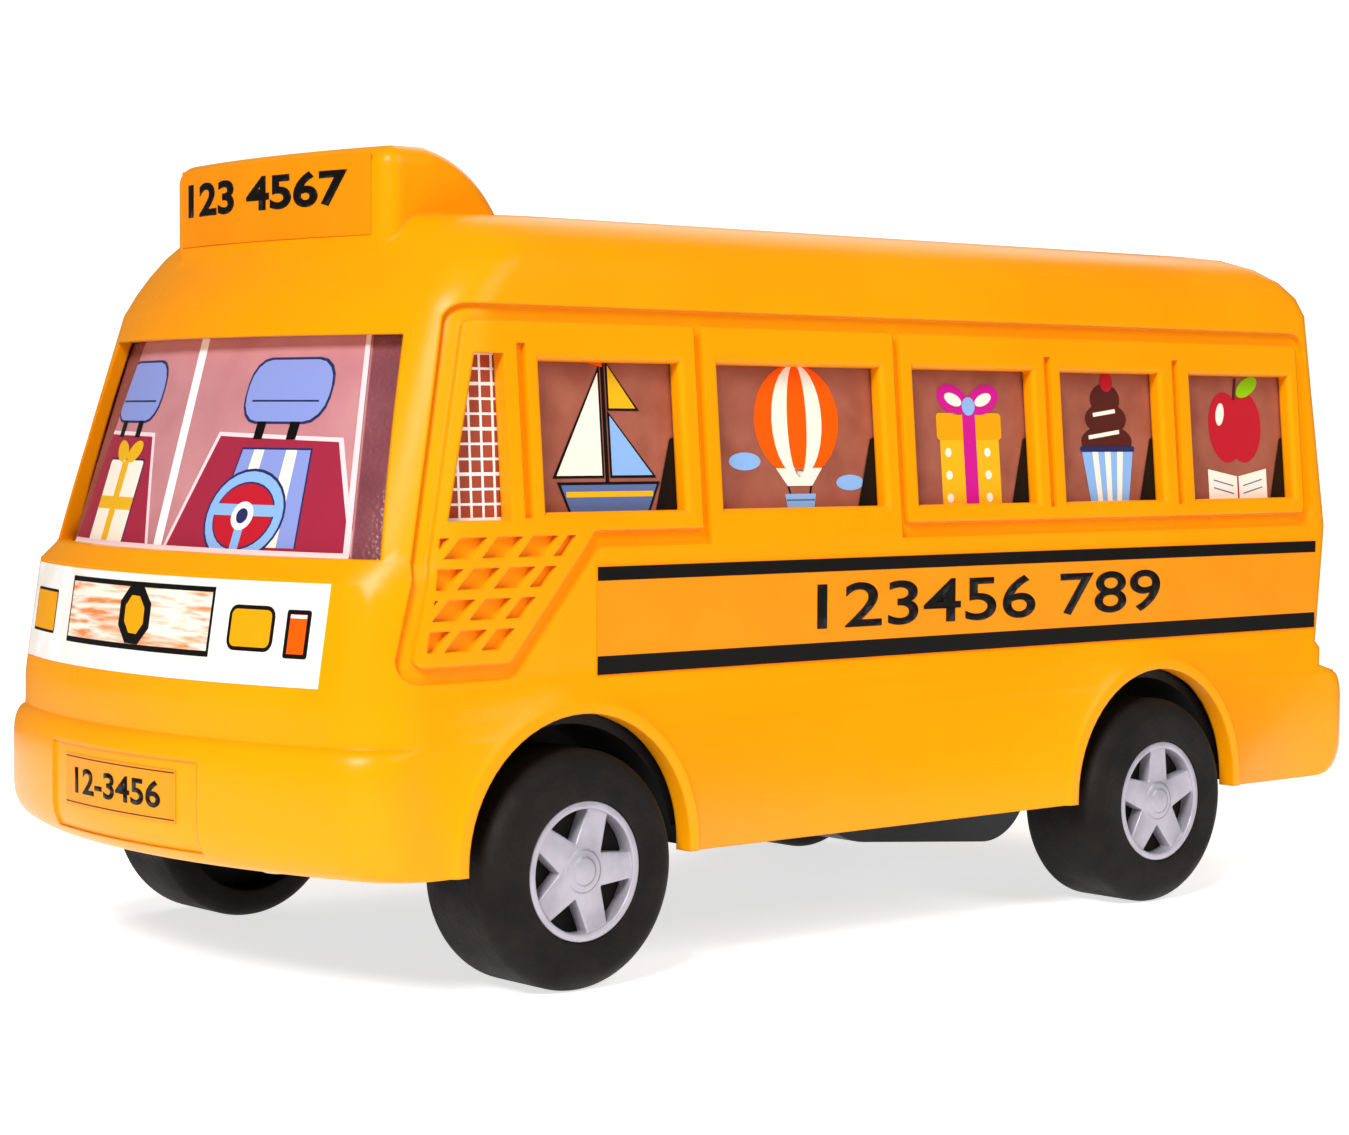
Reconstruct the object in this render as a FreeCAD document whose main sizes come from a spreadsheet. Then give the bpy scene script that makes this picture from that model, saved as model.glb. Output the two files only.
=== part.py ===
import FreeCAD, Part
import math
import os
import re
import Sketcher

# Toy school bus with a pull-back motor, in millimetres.
# The front looks towards -Y, the left side is +X, and the tyres stand on Z = 0.
# The origin is on the ground, midway between the two bumpers, on the centre line.

Vector = FreeCAD.Vector
ALONG_X = Vector(1, 0, 0)
ALONG_Y = Vector(0, 1, 0)
ALONG_Z = Vector(0, 0, 1)
ORIGIN = Vector(0, 0, 0)

doc = FreeCAD.newDocument("toy_bus")
sheet = doc.addObject("Spreadsheet::Sheet", "Sizes")

# Driving dimensions. Heights are above the ground, a reach is a distance from the middle of
# the bus towards the front or the rear, and a half width is measured from the centre line.
SIZES = {
    "Body outside": {
        "skirt_bottom": 13.6,
        "skirt_top": 27.4,
        "ledge_rise": 0.9,
        "ledge_gap": 2.3,
        "belt_height": 47.0,
        "screen_foot": 46.0,
        "brow_height": 72.5,
        "brow_top": 79.5,
        "roof_height": 82.4,
        "skirt_half_width": 36.75,
        "ledge_half_width": 36.42,
        "side_half_width": 36.1,
        "eave_half_width": 33.65,
        "bumper_reach": 85.2,
        "face_foot_reach": 84.0,
        "face_reach": 82.0,
        "face_top": 44.2,
        "screen_foot_reach": 79.9,
        "brow_reach": 70.9,
        "brow_top_reach": 66.2,
        "tail_foot_reach": 79.0,
        "tail_reach": 80.5,
        "tail_ledge_reach": 79.6,
        "tail_top_reach": 78.8,
        "bow_radius": 89.0,
        "bumper_corner": 7.0,
        "face_corner": 10.0,
        "brow_corner": 7.0,
        "tail_corner": 3.0,
        "bumper_tail_corner": 5.0,
        "bumper_tuck": 3.7,
        "bumper_tail_tuck": 4.0,
        "bumper_tail_roll": 1.6,
        "bumper_foot_rise": 4.4,
        "bumper_shoulder": 23.8,
        "bumper_shoulder_rise": 3.4,
        "roof_round": 7.5,
        "brow_round": 1.5,
        "tail_round": 10.0,
        "smallest_corner": 2.0,
    },
    "Body wall and mouldings": {
        "shell_wall": 1.8,
        "overrun": 2.0,
        "groove_depth": 0.7,
        "groove_width": 1.7,
        "groove_corner": 2.4,
        "groove_inner_corner": 1.0,
        "groove_top": 72.5,
        "groove_belt": 47.1,
        "groove_rear": 76.2,
        "groove_foot": 33.6,
        "groove_front_top": 64.5,
        "groove_front_foot": 73.8,
        "groove_slope_foot": 58.5,
        "groove_slope_top": 47.0,
        "divider_width": 1.1,
        "divider_rise": 1.6,
        "divider_drop": 0.6,
        "lattice_top": 48.4,
        "lattice_foot": 36.8,
        "lattice_front_top": 67.9,
        "lattice_front_foot": 69.9,
        "lattice_rear_top": 50.4,
        "lattice_rear_foot": 60.5,
        "lattice_depth": 0.8,
        "lattice_rib": 1.05,
        "lattice_strut": 1.3,
        "lattice_pitch": 4.7,
        "lattice_strut_reach": 57.5,
        "bumper_panel_half_width": 14.8,
        "bumper_panel_depth": 0.3,
        "bumper_panel_foot": 15.2,
        "bumper_panel_top": 24.8,
    },
    "Windows": {
        "window_front": 54.1,
        "window_rear": 72.8,
        "window_sill": 50.9,
        "window_head": 66.9,
        "frame_margin": 1.0,
        "reveal_round": 0.7,
        "quarter_sill": 50.1,
        "quarter_head": 67.4,
        "quarter_front_foot": 66.9,
        "quarter_front_top": 62.5,
        "quarter_rear": 58.9,
        "screen_sill": 46.2,
        "screen_head": 69.3,
        "screen_sill_half_width": 32.4,
        "screen_head_half_width": 28.3,
        "screen_depth": 26.0,
        "tail_window_half_width": 24.5,
    },
    "Roof sign": {
        "sign_half_width": 21.2,
        "sign_reach": 66.1,
        "sign_root": 78.4,
        "sign_top": 89.6,
        "sign_crown": 7.6,
        "sign_back_reach": 48.2,
        "sign_back_height": 81.6,
        "sign_back_bulge": 1.6,
        "sign_round": 2.2,
        "sign_bow_radius": 110.0,
    },
    "Wheel arches": {
        "wheelbase": 93.9,
        "front_axle_reach": 50.4,
        "arch_radius": 15.1,
        "arch_height": 14.5,
        "flare_radius": 18.0,
        "flare_crest_radius": 16.4,
        "flare_half_width": 37.3,
        "flare_round": 0.5,
    },
    "Screw posts of the body": {
        "post_radius": 3.2,
        "post_top": 29.4,
        "post_spread": 18.0,
        "post_gap": 1.4,
        "post_web": 1.6,
        "post_web_reach": 83.6,
    },
    "Window moulding and printed labels": {
        "insert_gap": 0.3,
        "insert_wall": 1.0,
        "insert_foot": 30.1,
        "insert_top": 76.0,
        "label_thickness": 0.12,
        "print_margin": 1.2,
        "screen_print_sill_half_width": 27.9,
        "screen_print_head_half_width": 22.4,
        "band_foot": 33.45,
        "band_top": 45.0,
        "band_front": 47.75,
        "band_rear": 76.6,
        "face_label_half_width": 29.4,
        "face_label_foot": 33.2,
        "face_label_top": 43.8,
        "plate_half_width": 11.3,
        "plate_foot": 18.1,
        "plate_top": 23.7,
        "sign_label_half_width": 18.65,
        "sign_label_foot": 80.1,
        "sign_label_top": 88.8,
        "lamp_inner": 23.5,
        "lamp_outer": 30.5,
        "lamp_foot": 34.5,
        "lamp_top": 44.0,
    },
    "Chassis": {
        "chassis_gap": 0.25,
        "chassis_underside": 14.2,
        "chassis_thickness": 2.0,
        "well_radius": 15.4,
        "well_wall": 1.2,
        "well_inner_face": 24.1,
        "well_outer_face": 34.0,
        "saddle_inner_face": 16.3,
        "saddle_width": 5.0,
        "saddle_length": 8.0,
        "saddle_bottom": 10.2,
        "saddle_mouth": 1.6,
        "chassis_rib_offset": 14.5,
        "chassis_rib_width": 1.4,
        "chassis_rib_depth": 2.2,
        "panel_depth": 0.6,
        "panel_margin": 1.6,
        "panel_corner": 2.0,
    },
    "Wheels and axles": {
        "tyre_radius": 12.9,
        "tyre_width": 12.0,
        "wheel_face": 37.8,
        "tyre_shoulder": 2.4,
        "tyre_inner_shoulder": 1.6,
        "tyre_recess_radius": 9.6,
        "tyre_recess_depth": 4.0,
        "tyre_boss_radius": 3.2,
        "hub_radius": 7.5,
        "hub_play": 0.05,
        "hub_depth": 2.2,
        "hub_face_drop": 0.15,
        "rim_width": 0.85,
        "spoke_root_width": 4.1,
        "spoke_tip_width": 2.7,
        "spoke_height": 1.8,
        "boss_radius": 2.3,
        "boss_height": 2.0,
        "cap_radius": 1.5,
        "axle_radius": 1.0,
        "axle_end": 36.8,
        "running_gap": 0.07,
    },
    "Screws": {
        "screw_radius": 1.1,
        "screw_gap": 0.25,
        "screw_head_radius": 2.3,
        "screw_head_height": 1.2,
        "screw_length": 10.0,
        "screw_slot": 0.5,
        "lug_screw_length": 4.6,
        "case_screw_length": 9.0,
    },
    "Motor": {
        "gear_module": 0.5,
        "tooth_play": 0.12,
        "motor_fall": 4.6,
        "case_half_width": 7.8,
        "case_wall": 1.2,
        "case_front_radius": 9.9,
        "case_rear_radius": 7.2,
        "case_gap": 0.2,
        "pinion_front": 2.2,
        "pinion_width": 3.4,
        "wheel_gear_start": 2.6,
        "wheel_gear_width": 2.6,
        "small_gear_start": -1.2,
        "small_gear_width": 3.8,
        "winding_gear_start": -1.0,
        "winding_gear_width": 2.4,
        "sleeve_radius": 1.5,
        "sleeve_play": 0.2,
        "gear_pin_radius": 0.75,
        "gear_pin_seat": 0.7,
        "arbor_radius": 2.0,
        "journal_radius": 1.25,
        "journal_seat": 1.0,
        "spring_strip": 0.25,
        "spring_inner": 2.35,
        "spring_outer": 9.65,
        "spring_start": -6.2,
        "spring_width": 4.6,
        "lug_length": 6.0,
        "lug_width": 6.0,
        "lug_height": 1.8,
        "lug_post_radius": 2.6,
        "lug_post_depth": 3.0,
    },
}

# Counts and angles that no length follows.
PINION_TEETH = 12
WHEEL_GEAR_TEETH = 30
SMALL_GEAR_TEETH = 12
WINDING_GEAR_TEETH = 36
PRESSURE_ANGLE = math.radians(25)
SPOKE_COUNT = 5
# Degrees that the hubs of the front and the rear axle are turned on it.
HUB_TURNS = [90, 180]
SPRING_TURNS = 7
LATTICE_ROWS = 4
LATTICE_REACH = 3
ROUND_STEPS = 5
# Dividers between the windows that run from the upper groove down to the belt, front to rear.
LONG_DIVIDERS = [1, 2]

# Front and rear edge of each side window, as shares of the run from the first to the last.
WINDOW_SHARES = [(0.0, 0.154), (0.198, 0.3975), (0.4405, 0.6035), (0.6445, 0.791), (0.839, 1.0)]
# Cosines, from the line of the gears, of the places round the winding gear where an ear stands.
CASE_EAR_SHARES = [0.93, -0.35]
# Parts of a screw head, as shares of its height and radius.
DOME_SHARE = 0.6
SLOT_REACH_SHARE = 0.6
SLOT_DEPTH_SHARE = 0.45
# Depth of a tooth below the pitch circle, as a share of the module.
DEDENDUM_SHARE = 1.2


def fill_sheet():
    """Writes every driving dimension into the sheet, with its alias."""
    row = 1
    for heading, group in SIZES.items():
        sheet.set("A%d" % row, heading)
        row += 1
        for alias, value in group.items():
            sheet.set("A%d" % row, alias.replace("_", " "))
            sheet.set("B%d" % row, str(value))
            sheet.setAlias("B%d" % row, alias)
            row += 1
    doc.recompute()


fill_sheet()
ALIASES = {alias for group in SIZES.values() for alias in group}


def size(alias):
    """The value of a driving dimension, read from the sheet."""
    return float(sheet.get(alias))


def formula(words):
    """Turns the aliases in a sum into references to the sheet."""
    return re.sub(r"[a-z]+(_[a-z]+)*", lambda m: "Sizes." + m[0] if m[0] in ALIASES else m[0], words)


# Primitives and booleans whose sizes follow the sheet

def bind(item, **sums):
    """Binds properties of an item to sums of driving dimensions."""
    for prop, words in sums.items():
        item.setExpression(prop, formula(words))
    return item


def place(item, x="0", y="0", z="0"):
    """Binds an item's place to sums of driving dimensions."""
    for axis, words in zip("xyz", (x, y, z)):
        item.setExpression("Placement.Base." + axis, formula(words))
    return item


def box(name, length, width, height, x, y, z):
    """A block from its low corner."""
    item = bind(doc.addObject("Part::Box", name), Length=length, Width=width, Height=height)
    return place(item, x, y, z)


def cross_rod(name, radius, length, x, y, z):
    """A cylinder that lies across the bus, from its right end."""
    item = bind(doc.addObject("Part::Cylinder", name), Radius=radius, Height=length)
    item.Placement.Rotation = FreeCAD.Rotation(ALONG_Y, 90)
    return place(item, x, y, z)


def fuse(name, items):
    """The union of several items."""
    item = doc.addObject("Part::MultiFuse", name)
    item.Shapes = items
    return item


def cut(name, base, tools):
    """A base less the union of the tools."""
    item = doc.addObject("Part::Cut", name)
    item.Base = base
    item.Tool = tools[0] if len(tools) == 1 else fuse(name + "_tools", tools)
    return item


def feature(label, shape, place_at=ORIGIN, turned=None):
    """A sub-part whose outline neither a sketch nor a primitive describes."""
    item = doc.addObject("Part::Feature", label)
    item.Shape = shape
    item.Placement = FreeCAD.Placement(place_at, turned or FreeCAD.Rotation())
    item.Label = label
    return item


def label_as(item, label):
    """Names a finished sub-part."""
    item.Label = label
    return item


# Wires and prisms

def face_of(points):
    """A flat face through the points."""
    return Part.Face(Part.makePolygon(points + points[:1]))


def side_prism(points, start, end):
    """A prism across the bus between two X values, from (Y, Z) points."""
    face = face_of([Vector(start, y, z) for y, z in points])
    return face.extrude(ALONG_X * (end - start))


def front_prism(points, start, end):
    """A prism along the bus between two Y values, from (X, Z) points."""
    face = face_of([Vector(x, start, z) for x, z in points])
    return face.extrude(ALONG_Y * (end - start))


def block(x, y, z):
    """A block between pairs of X, Y and Z values."""
    return Part.makeBox(x[1] - x[0], y[1] - y[0], z[1] - z[0], Vector(x[0], y[0], z[0]))


def cross_cylinder(radius, start, end, y, z):
    """A cylinder across the bus between two X values."""
    return Part.makeCylinder(radius, end - start, Vector(start, y, z), ALONG_X)


def both_sides(shape):
    """A shape of the left side and its mirror image on the right."""
    return [shape, shape.mirror(ORIGIN, ALONG_X)]


# Outside of the body, as outlines at rising heights

def plan_wire(height, half, front, nose, rear, tail):
    """Outline of the body at one height: a bowed front, rounded corners and a flat rear."""
    bow = size("bow_radius")
    bow_centre = Vector(0, bow - front, height)
    corner_y = bow_centre.y - math.sqrt((bow - nose) ** 2 - (half - nose) ** 2)
    edges = []
    tips = {}
    for hand in (1, -1):
        centre = Vector(hand * (half - nose), corner_y, height)
        outward = (centre - bow_centre).normalize()
        tip = bow_centre + outward * bow
        middle = centre + (outward + ALONG_X * hand).normalize() * nose
        side = Vector(hand * half, corner_y, height)
        rear_side = Vector(hand * half, rear - tail, height)
        rear_middle = Vector(hand * (half - tail * (1 - math.sqrt(0.5))),
                             rear - tail * (1 - math.sqrt(0.5)), height)
        rear_end = Vector(hand * (half - tail), rear, height)
        tips[hand] = (tip, rear_end)
        part = [Part.Arc(tip, middle, side).toShape(),
                Part.LineSegment(side, rear_side).toShape(),
                Part.Arc(rear_side, rear_middle, rear_end).toShape()]
        edges += part if hand == 1 else part[::-1]
        if hand == 1:
            left_half = list(edges)
            edges = []
    rear_line = Part.LineSegment(tips[1][1], tips[-1][1]).toShape()
    bow_arc = Part.Arc(tips[-1][0], Vector(0, -front, height), tips[1][0]).toShape()
    return Part.Wire(left_half + [rear_line] + edges + [bow_arc])


def rising_share(step):
    """Angle of one step of a quarter round."""
    return math.radians(90) * step / ROUND_STEPS


def body_levels():
    """Rows of height, half width, front reach, front corner, rear reach and rear corner."""
    skirt = size("skirt_half_width")
    ledge = size("ledge_half_width")
    side = size("side_half_width")
    bumper = size("bumper_reach")
    face = size("face_foot_reach")
    nose = size("bumper_corner")
    face_nose = size("face_corner")
    brow_nose = size("brow_corner")
    tail = size("tail_corner")
    bumper_tail = size("bumper_tail_corner")
    levels = []
    # The bumper's foot curls under.
    for step in range(ROUND_STEPS + 1):
        angle = rising_share(step)
        height = size("skirt_bottom") + size("bumper_foot_rise") * (1 - math.cos(angle))
        tucked = 1 - math.sin(angle)
        levels.append((height, skirt, bumper - size("bumper_tuck") * tucked, nose,
                       bumper - size("bumper_tail_tuck") * tucked, bumper_tail))
    # The bumper's shoulder rolls back to the face.
    for step in range(ROUND_STEPS + 1):
        angle = rising_share(step)
        height = size("bumper_shoulder") + size("bumper_shoulder_rise") * math.sin(angle)
        proud = math.cos(angle)
        levels.append((height, skirt, face + (bumper - face) * proud,
                       face_nose + (nose - face_nose) * proud,
                       bumper - size("bumper_tail_roll") * (1 - proud), bumper_tail))
    # Two ledges run along the side above the skirt.
    height = size("skirt_top")
    levels.append((height, skirt, face, face_nose, bumper - size("bumper_tail_roll"), bumper_tail))
    height += size("ledge_rise")
    levels.append((height, ledge, face, face_nose, size("tail_ledge_reach"), tail))
    height += size("ledge_gap")
    levels.append((height, ledge, face, face_nose, size("tail_ledge_reach"), tail))
    height += size("ledge_rise")
    levels.append((height, side, face, face_nose, size("tail_foot_reach"), tail))
    # The face leans back a little and rolls over to the foot of the windscreen.
    for height, reach in ((size("face_top"), size("face_reach")),
                          (size("screen_foot"), size("screen_foot_reach"))):
        share = (height - size("skirt_top")) / (size("belt_height") - size("skirt_top"))
        swell = (size("tail_reach") - size("tail_foot_reach")) * share
        levels.append((height, side, reach, face_nose, size("tail_foot_reach") + swell, tail))
    # The upper body leans in, and the windscreen leans back.
    round_foot = size("roof_height") - size("roof_round")

    def half_at(level):
        share = (level - size("belt_height")) / (round_foot - size("belt_height"))
        return side + (size("eave_half_width") - side) * share

    def tail_at(level):
        share = (level - size("belt_height")) / (round_foot - size("belt_height"))
        return size("tail_reach") + (size("tail_top_reach") - size("tail_reach")) * share

    def front_at(level):
        if level <= size("brow_height"):
            share = (level - size("screen_foot")) / (size("brow_height") - size("screen_foot"))
            foot = size("screen_foot_reach")
            return foot + (size("brow_reach") - foot) * share
        share = (level - size("brow_height")) / (size("brow_top") - size("brow_height"))
        return size("brow_reach") + (size("brow_top_reach") - size("brow_reach")) * share

    belt = size("belt_height")
    brow = size("brow_height")
    levels.append((belt, side, front_at(belt), face_nose, size("tail_reach"), tail))
    levels.append((brow, half_at(brow), front_at(brow), brow_nose, tail_at(brow), tail))
    # The roof edge is rounded all about, with corners that widen on the way up.
    for step in range(ROUND_STEPS + 1):
        angle = rising_share(step)
        height = round_foot + size("roof_round") * math.sin(angle)
        inset = 1 - math.cos(angle)
        widening = size("roof_round") * step / ROUND_STEPS
        levels.append((height,
                       size("eave_half_width") - size("roof_round") * inset,
                       front_at(height) - size("brow_round") * inset,
                       brow_nose + widening,
                       size("tail_top_reach") - size("tail_round") * inset,
                       tail + widening))
    return levels


HULLS = {}


def hull(grow):
    """The outside of the body grown by a distance, or shrunk by a negative one."""
    if grow not in HULLS:
        levels = body_levels()
        wires = []
        for index, (height, half, front, nose, rear, tail) in enumerate(levels):
            if index == 0 and grow < 0:
                height -= size("overrun")
            if index == len(levels) - 1:
                height += grow
            elif height > size("brow_top"):
                height += grow * (height - size("brow_top")) / (size("roof_height") - size("brow_top"))
            wires.append(plan_wire(height, half + grow, front + grow,
                                   max(nose + grow, size("smallest_corner") / 4), rear + grow,
                                   max(tail + grow, size("smallest_corner") / 4)))
        HULLS[grow] = Part.makeLoft(wires, True, True)
    return HULLS[grow]


def skin(bottom, top):
    """The layer of the body's hull between two depths, outward positive."""
    return hull(top).cut(hull(bottom))


# Side mouldings

def side_tilt():
    """Lean of the upper side wall, in degrees."""
    rise = size("roof_height") - size("roof_round") - size("belt_height")
    return math.degrees(math.atan((size("side_half_width") - size("eave_half_width")) / rise))


def leaned(shape):
    """Leans a shape, drawn on the upright side wall, with the upper wall."""
    hinge = Vector(size("side_half_width"), 0, size("belt_height"))
    return shape.rotate(hinge, ALONG_Y, -side_tilt())


def window_places():
    """Front and rear edge of each side window."""
    run = size("window_front") + size("window_rear")
    return [(run * a - size("window_front"), run * b - size("window_front")) for a, b in WINDOW_SHARES]


def frame_slab(front, rear, start, end):
    """The plate that the edge of one window is made from, on the upright wall."""
    margin = size("frame_margin")
    return block((start, end), (front - margin, rear + margin),
                 (size("window_sill") - margin, size("window_head") + margin))


def window_frame(front, rear):
    """The edge of one window opening, with a softly rounded reveal."""
    outer = size("side_half_width")
    inner = outer - size("shell_wall")
    hole = block((inner - size("overrun"), outer + size("overrun")), (front, rear),
                 (size("window_sill"), size("window_head")))
    ring = frame_slab(front, rear, inner, outer).cut(hole)
    middle = Vector(outer, (front + rear) / 2, (size("window_sill") + size("window_head")) / 2)
    reach = (rear - front + size("frame_margin")) / 2
    rise = (size("window_head") - size("window_sill") + size("frame_margin")) / 2
    mouth = []
    for edge in ring.Edges:
        away = edge.CenterOfMass - middle
        if abs(away.x) < size("label_thickness") and abs(away.y) < reach and abs(away.z) < rise:
            mouth.append(edge)
    return ring.makeFillet(size("reveal_round"), mouth)


def quarter_window(margin=0.0):
    """(Y, Z) points of the slanted window behind the windscreen pillar."""
    return [(-size("quarter_front_foot") - margin, size("quarter_sill") - margin),
            (-size("quarter_rear") + margin, size("quarter_sill") - margin),
            (-size("quarter_rear") + margin, size("quarter_head") + margin),
            (-size("quarter_front_top") - margin, size("quarter_head") + margin)]


def rounded_prism(points, corner, start, end):
    """A prism across the bus with its corners rounded."""
    solid = side_prism(points, start, end)
    along = [e for e in solid.Edges if abs(e.Vertexes[0].X - e.Vertexes[-1].X) > size("overrun")]
    return solid.makeFillet(corner, along)


def groove_outline(inset):
    """(Y, Z) points of the groove about the windows and the lattice, drawn in by an inset."""
    rear = size("groove_rear") - inset
    slope = Vector(0, size("groove_slope_foot") - size("groove_slope_top"),
                   size("groove_belt") - size("groove_foot")).normalize()
    pillar = Vector(0, size("groove_front_foot") - size("groove_front_top"),
                    size("groove_top") - size("groove_foot")).normalize()
    slope_shift = inset / slope.z
    pillar_shift = inset / pillar.z
    slope_run = slope.y / slope.z
    pillar_run = pillar.y / pillar.z
    return [(-size("groove_front_top") + pillar_shift - pillar_run * inset, size("groove_top") - inset),
            (rear, size("groove_top") - inset),
            (rear, size("groove_belt") + inset),
            (-size("groove_slope_top") - slope_shift + slope_run * inset, size("groove_belt") + inset),
            (-size("groove_slope_foot") - slope_shift + slope_run * inset, size("groove_foot") + inset),
            (-size("groove_front_foot") + pillar_shift + pillar_run * inset,
             size("groove_foot") + inset)]


def side_grooves(start, end):
    """The groove about the windows and the dividing grooves between them."""
    outside = rounded_prism(groove_outline(0), size("groove_corner"), start, end)
    inside = rounded_prism(groove_outline(size("groove_width")), size("groove_inner_corner"),
                           start - size("overrun"), end + size("overrun"))
    places = [(-size("quarter_front_foot"), -size("quarter_rear"))] + window_places()
    half = size("divider_width") / 2
    middles = [(before[1] + after[0]) / 2 for before, after in zip(places, places[1:])]
    # Below the panel between the two long dividers the wall runs on to the belt.
    bridge = block((start, end), (middles[LONG_DIVIDERS[0]], middles[LONG_DIVIDERS[1]]),
                   (size("groove_belt") - size("overrun"), size("groove_belt") + size("groove_width")))
    grooves = [outside.cut(inside).cut(bridge)]
    for index, middle in enumerate(middles):
        rise = (size("window_sill") - size("divider_drop"), size("window_head") + size("divider_rise"))
        if index in LONG_DIVIDERS:
            rise = (size("groove_belt"), size("groove_top") - size("groove_width") / 2)
        grooves.append(block((start, end), (middle - half, middle + half), rise))
    return grooves[0].fuse(grooves[1:])


def lattice_cells(start, end):
    """Slanted cells between the ribs and struts of the lattice below the quarter window."""
    foot = size("lattice_foot")
    head = size("lattice_top")
    area = side_prism([(-size("lattice_front_foot"), foot), (-size("lattice_rear_foot"), foot),
                       (-size("lattice_rear_top"), head), (-size("lattice_front_top"), head)],
                      start, end)
    rise = (head - foot + size("lattice_rib")) / LATTICE_ROWS
    cells = []
    for row in range(LATTICE_ROWS):
        low = foot + rise * row
        high = low + rise - size("lattice_rib")
        for column in range(-LATTICE_REACH, LATTICE_REACH + 1):
            back = size("lattice_pitch") * column - size("lattice_strut_reach") - head
            front = back - size("lattice_pitch") + size("lattice_strut")
            cells.append(side_prism([(front + low, low), (back + low, low), (back + high, high),
                                     (front + high, high)], start, end))
    return Part.makeCompound(cells).common(area)


# Roof sign

def sign_block(grow):
    """The sign box on the front of the roof, grown or shrunk."""
    half = size("sign_half_width") + grow
    front = -size("sign_reach") - grow
    top = size("sign_top") + grow
    crown = front + size("sign_crown") + 2 * grow
    back = -size("sign_back_reach") + grow
    foot = size("sign_root")
    slope_start = Vector(half, crown, top)
    slope_end = Vector(half, back, size("sign_back_height"))
    across = (slope_end - slope_start).normalize()
    bulge = ALONG_X.cross(across) * size("sign_back_bulge")
    middle = (slope_start + slope_end) / 2 + bulge
    edges = [Part.LineSegment(Vector(half, front, foot), Vector(half, front, top)).toShape(),
             Part.LineSegment(Vector(half, front, top), slope_start).toShape(),
             Part.Arc(slope_start, middle, slope_end).toShape(),
             Part.LineSegment(slope_end, Vector(half, back, foot)).toShape(),
             Part.LineSegment(Vector(half, back, foot), Vector(half, front, foot)).toShape()]
    block_shape = Part.Face(Part.Wire(edges)).extrude(-ALONG_X * 2 * half)
    return block_shape.common(sign_bow(size("sign_bow_radius") + grow))


def sign_bow(radius):
    """The upright cylinder whose front is the bowed front of the sign."""
    foot = Vector(0, size("sign_bow_radius") - size("sign_reach"), size("sign_root"))
    return Part.makeCylinder(radius, 2 * (size("sign_top") - size("sign_root")), foot)


def sign_outside():
    """The sign box with its edges rounded above the roof."""
    solid = sign_block(0)
    edges = [e for e in solid.Edges if e.BoundBox.ZMax > size("sign_back_height") + size("sign_round")]
    return solid.makeFillet(size("sign_round"), edges)


# Body shell

def axle_places():
    """Y of the front and the rear axle."""
    return [-size("front_axle_reach"), size("wheelbase") - size("front_axle_reach")]


def arch_cutter(axle_y, radius, start, end):
    """A round-headed wheel opening with upright legs."""
    head = cross_cylinder(radius, start, end, axle_y, size("arch_height"))
    legs = block((start, end), (axle_y - radius, axle_y + radius),
                 (size("skirt_bottom") - size("overrun"), size("arch_height")))
    return head.fuse(legs)


def arch_flare(axle_y):
    """The raised lip round one wheel opening on the left side."""
    crest = size("flare_half_width")
    root = size("side_half_width") - size("groove_depth")
    slope = (size("flare_radius") - size("flare_crest_radius")) / (crest - size("side_half_width"))
    cone = Part.makeCone(size("flare_radius") + slope * (size("side_half_width") - root),
                         size("flare_crest_radius"), crest - root,
                         Vector(root, axle_y, size("arch_height")), ALONG_X)
    legs = arch_cutter(axle_y, size("arch_radius"), root - size("overrun"), crest + size("overrun"))
    crest_edge = [e for e in cone.Edges if abs(e.CenterOfMass.x - crest) < size("label_thickness")]
    cone = cone.makeFillet(size("flare_round"), crest_edge)
    ring = cone.cut(legs)
    reach = size("flare_radius") * 2
    below = block((root - size("overrun"), crest + size("overrun")), (axle_y - reach, axle_y + reach),
                  (size("skirt_bottom") - reach, size("skirt_bottom")))
    return ring.cut(below)


def post_places():
    """(X, Y, hand) of the four screw posts, with the hand towards the nearest end."""
    inset = size("shell_wall") + size("post_radius") + size("post_gap")
    front = inset - size("face_reach")
    rear = size("tail_foot_reach") - inset
    spread = size("post_spread")
    return [(x, y, hand) for y, hand in ((front, -1), (rear, 1)) for x in (-spread, spread)]


def chassis_top():
    """Height of the chassis plate's upper face."""
    return size("chassis_underside") + size("chassis_thickness")


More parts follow.
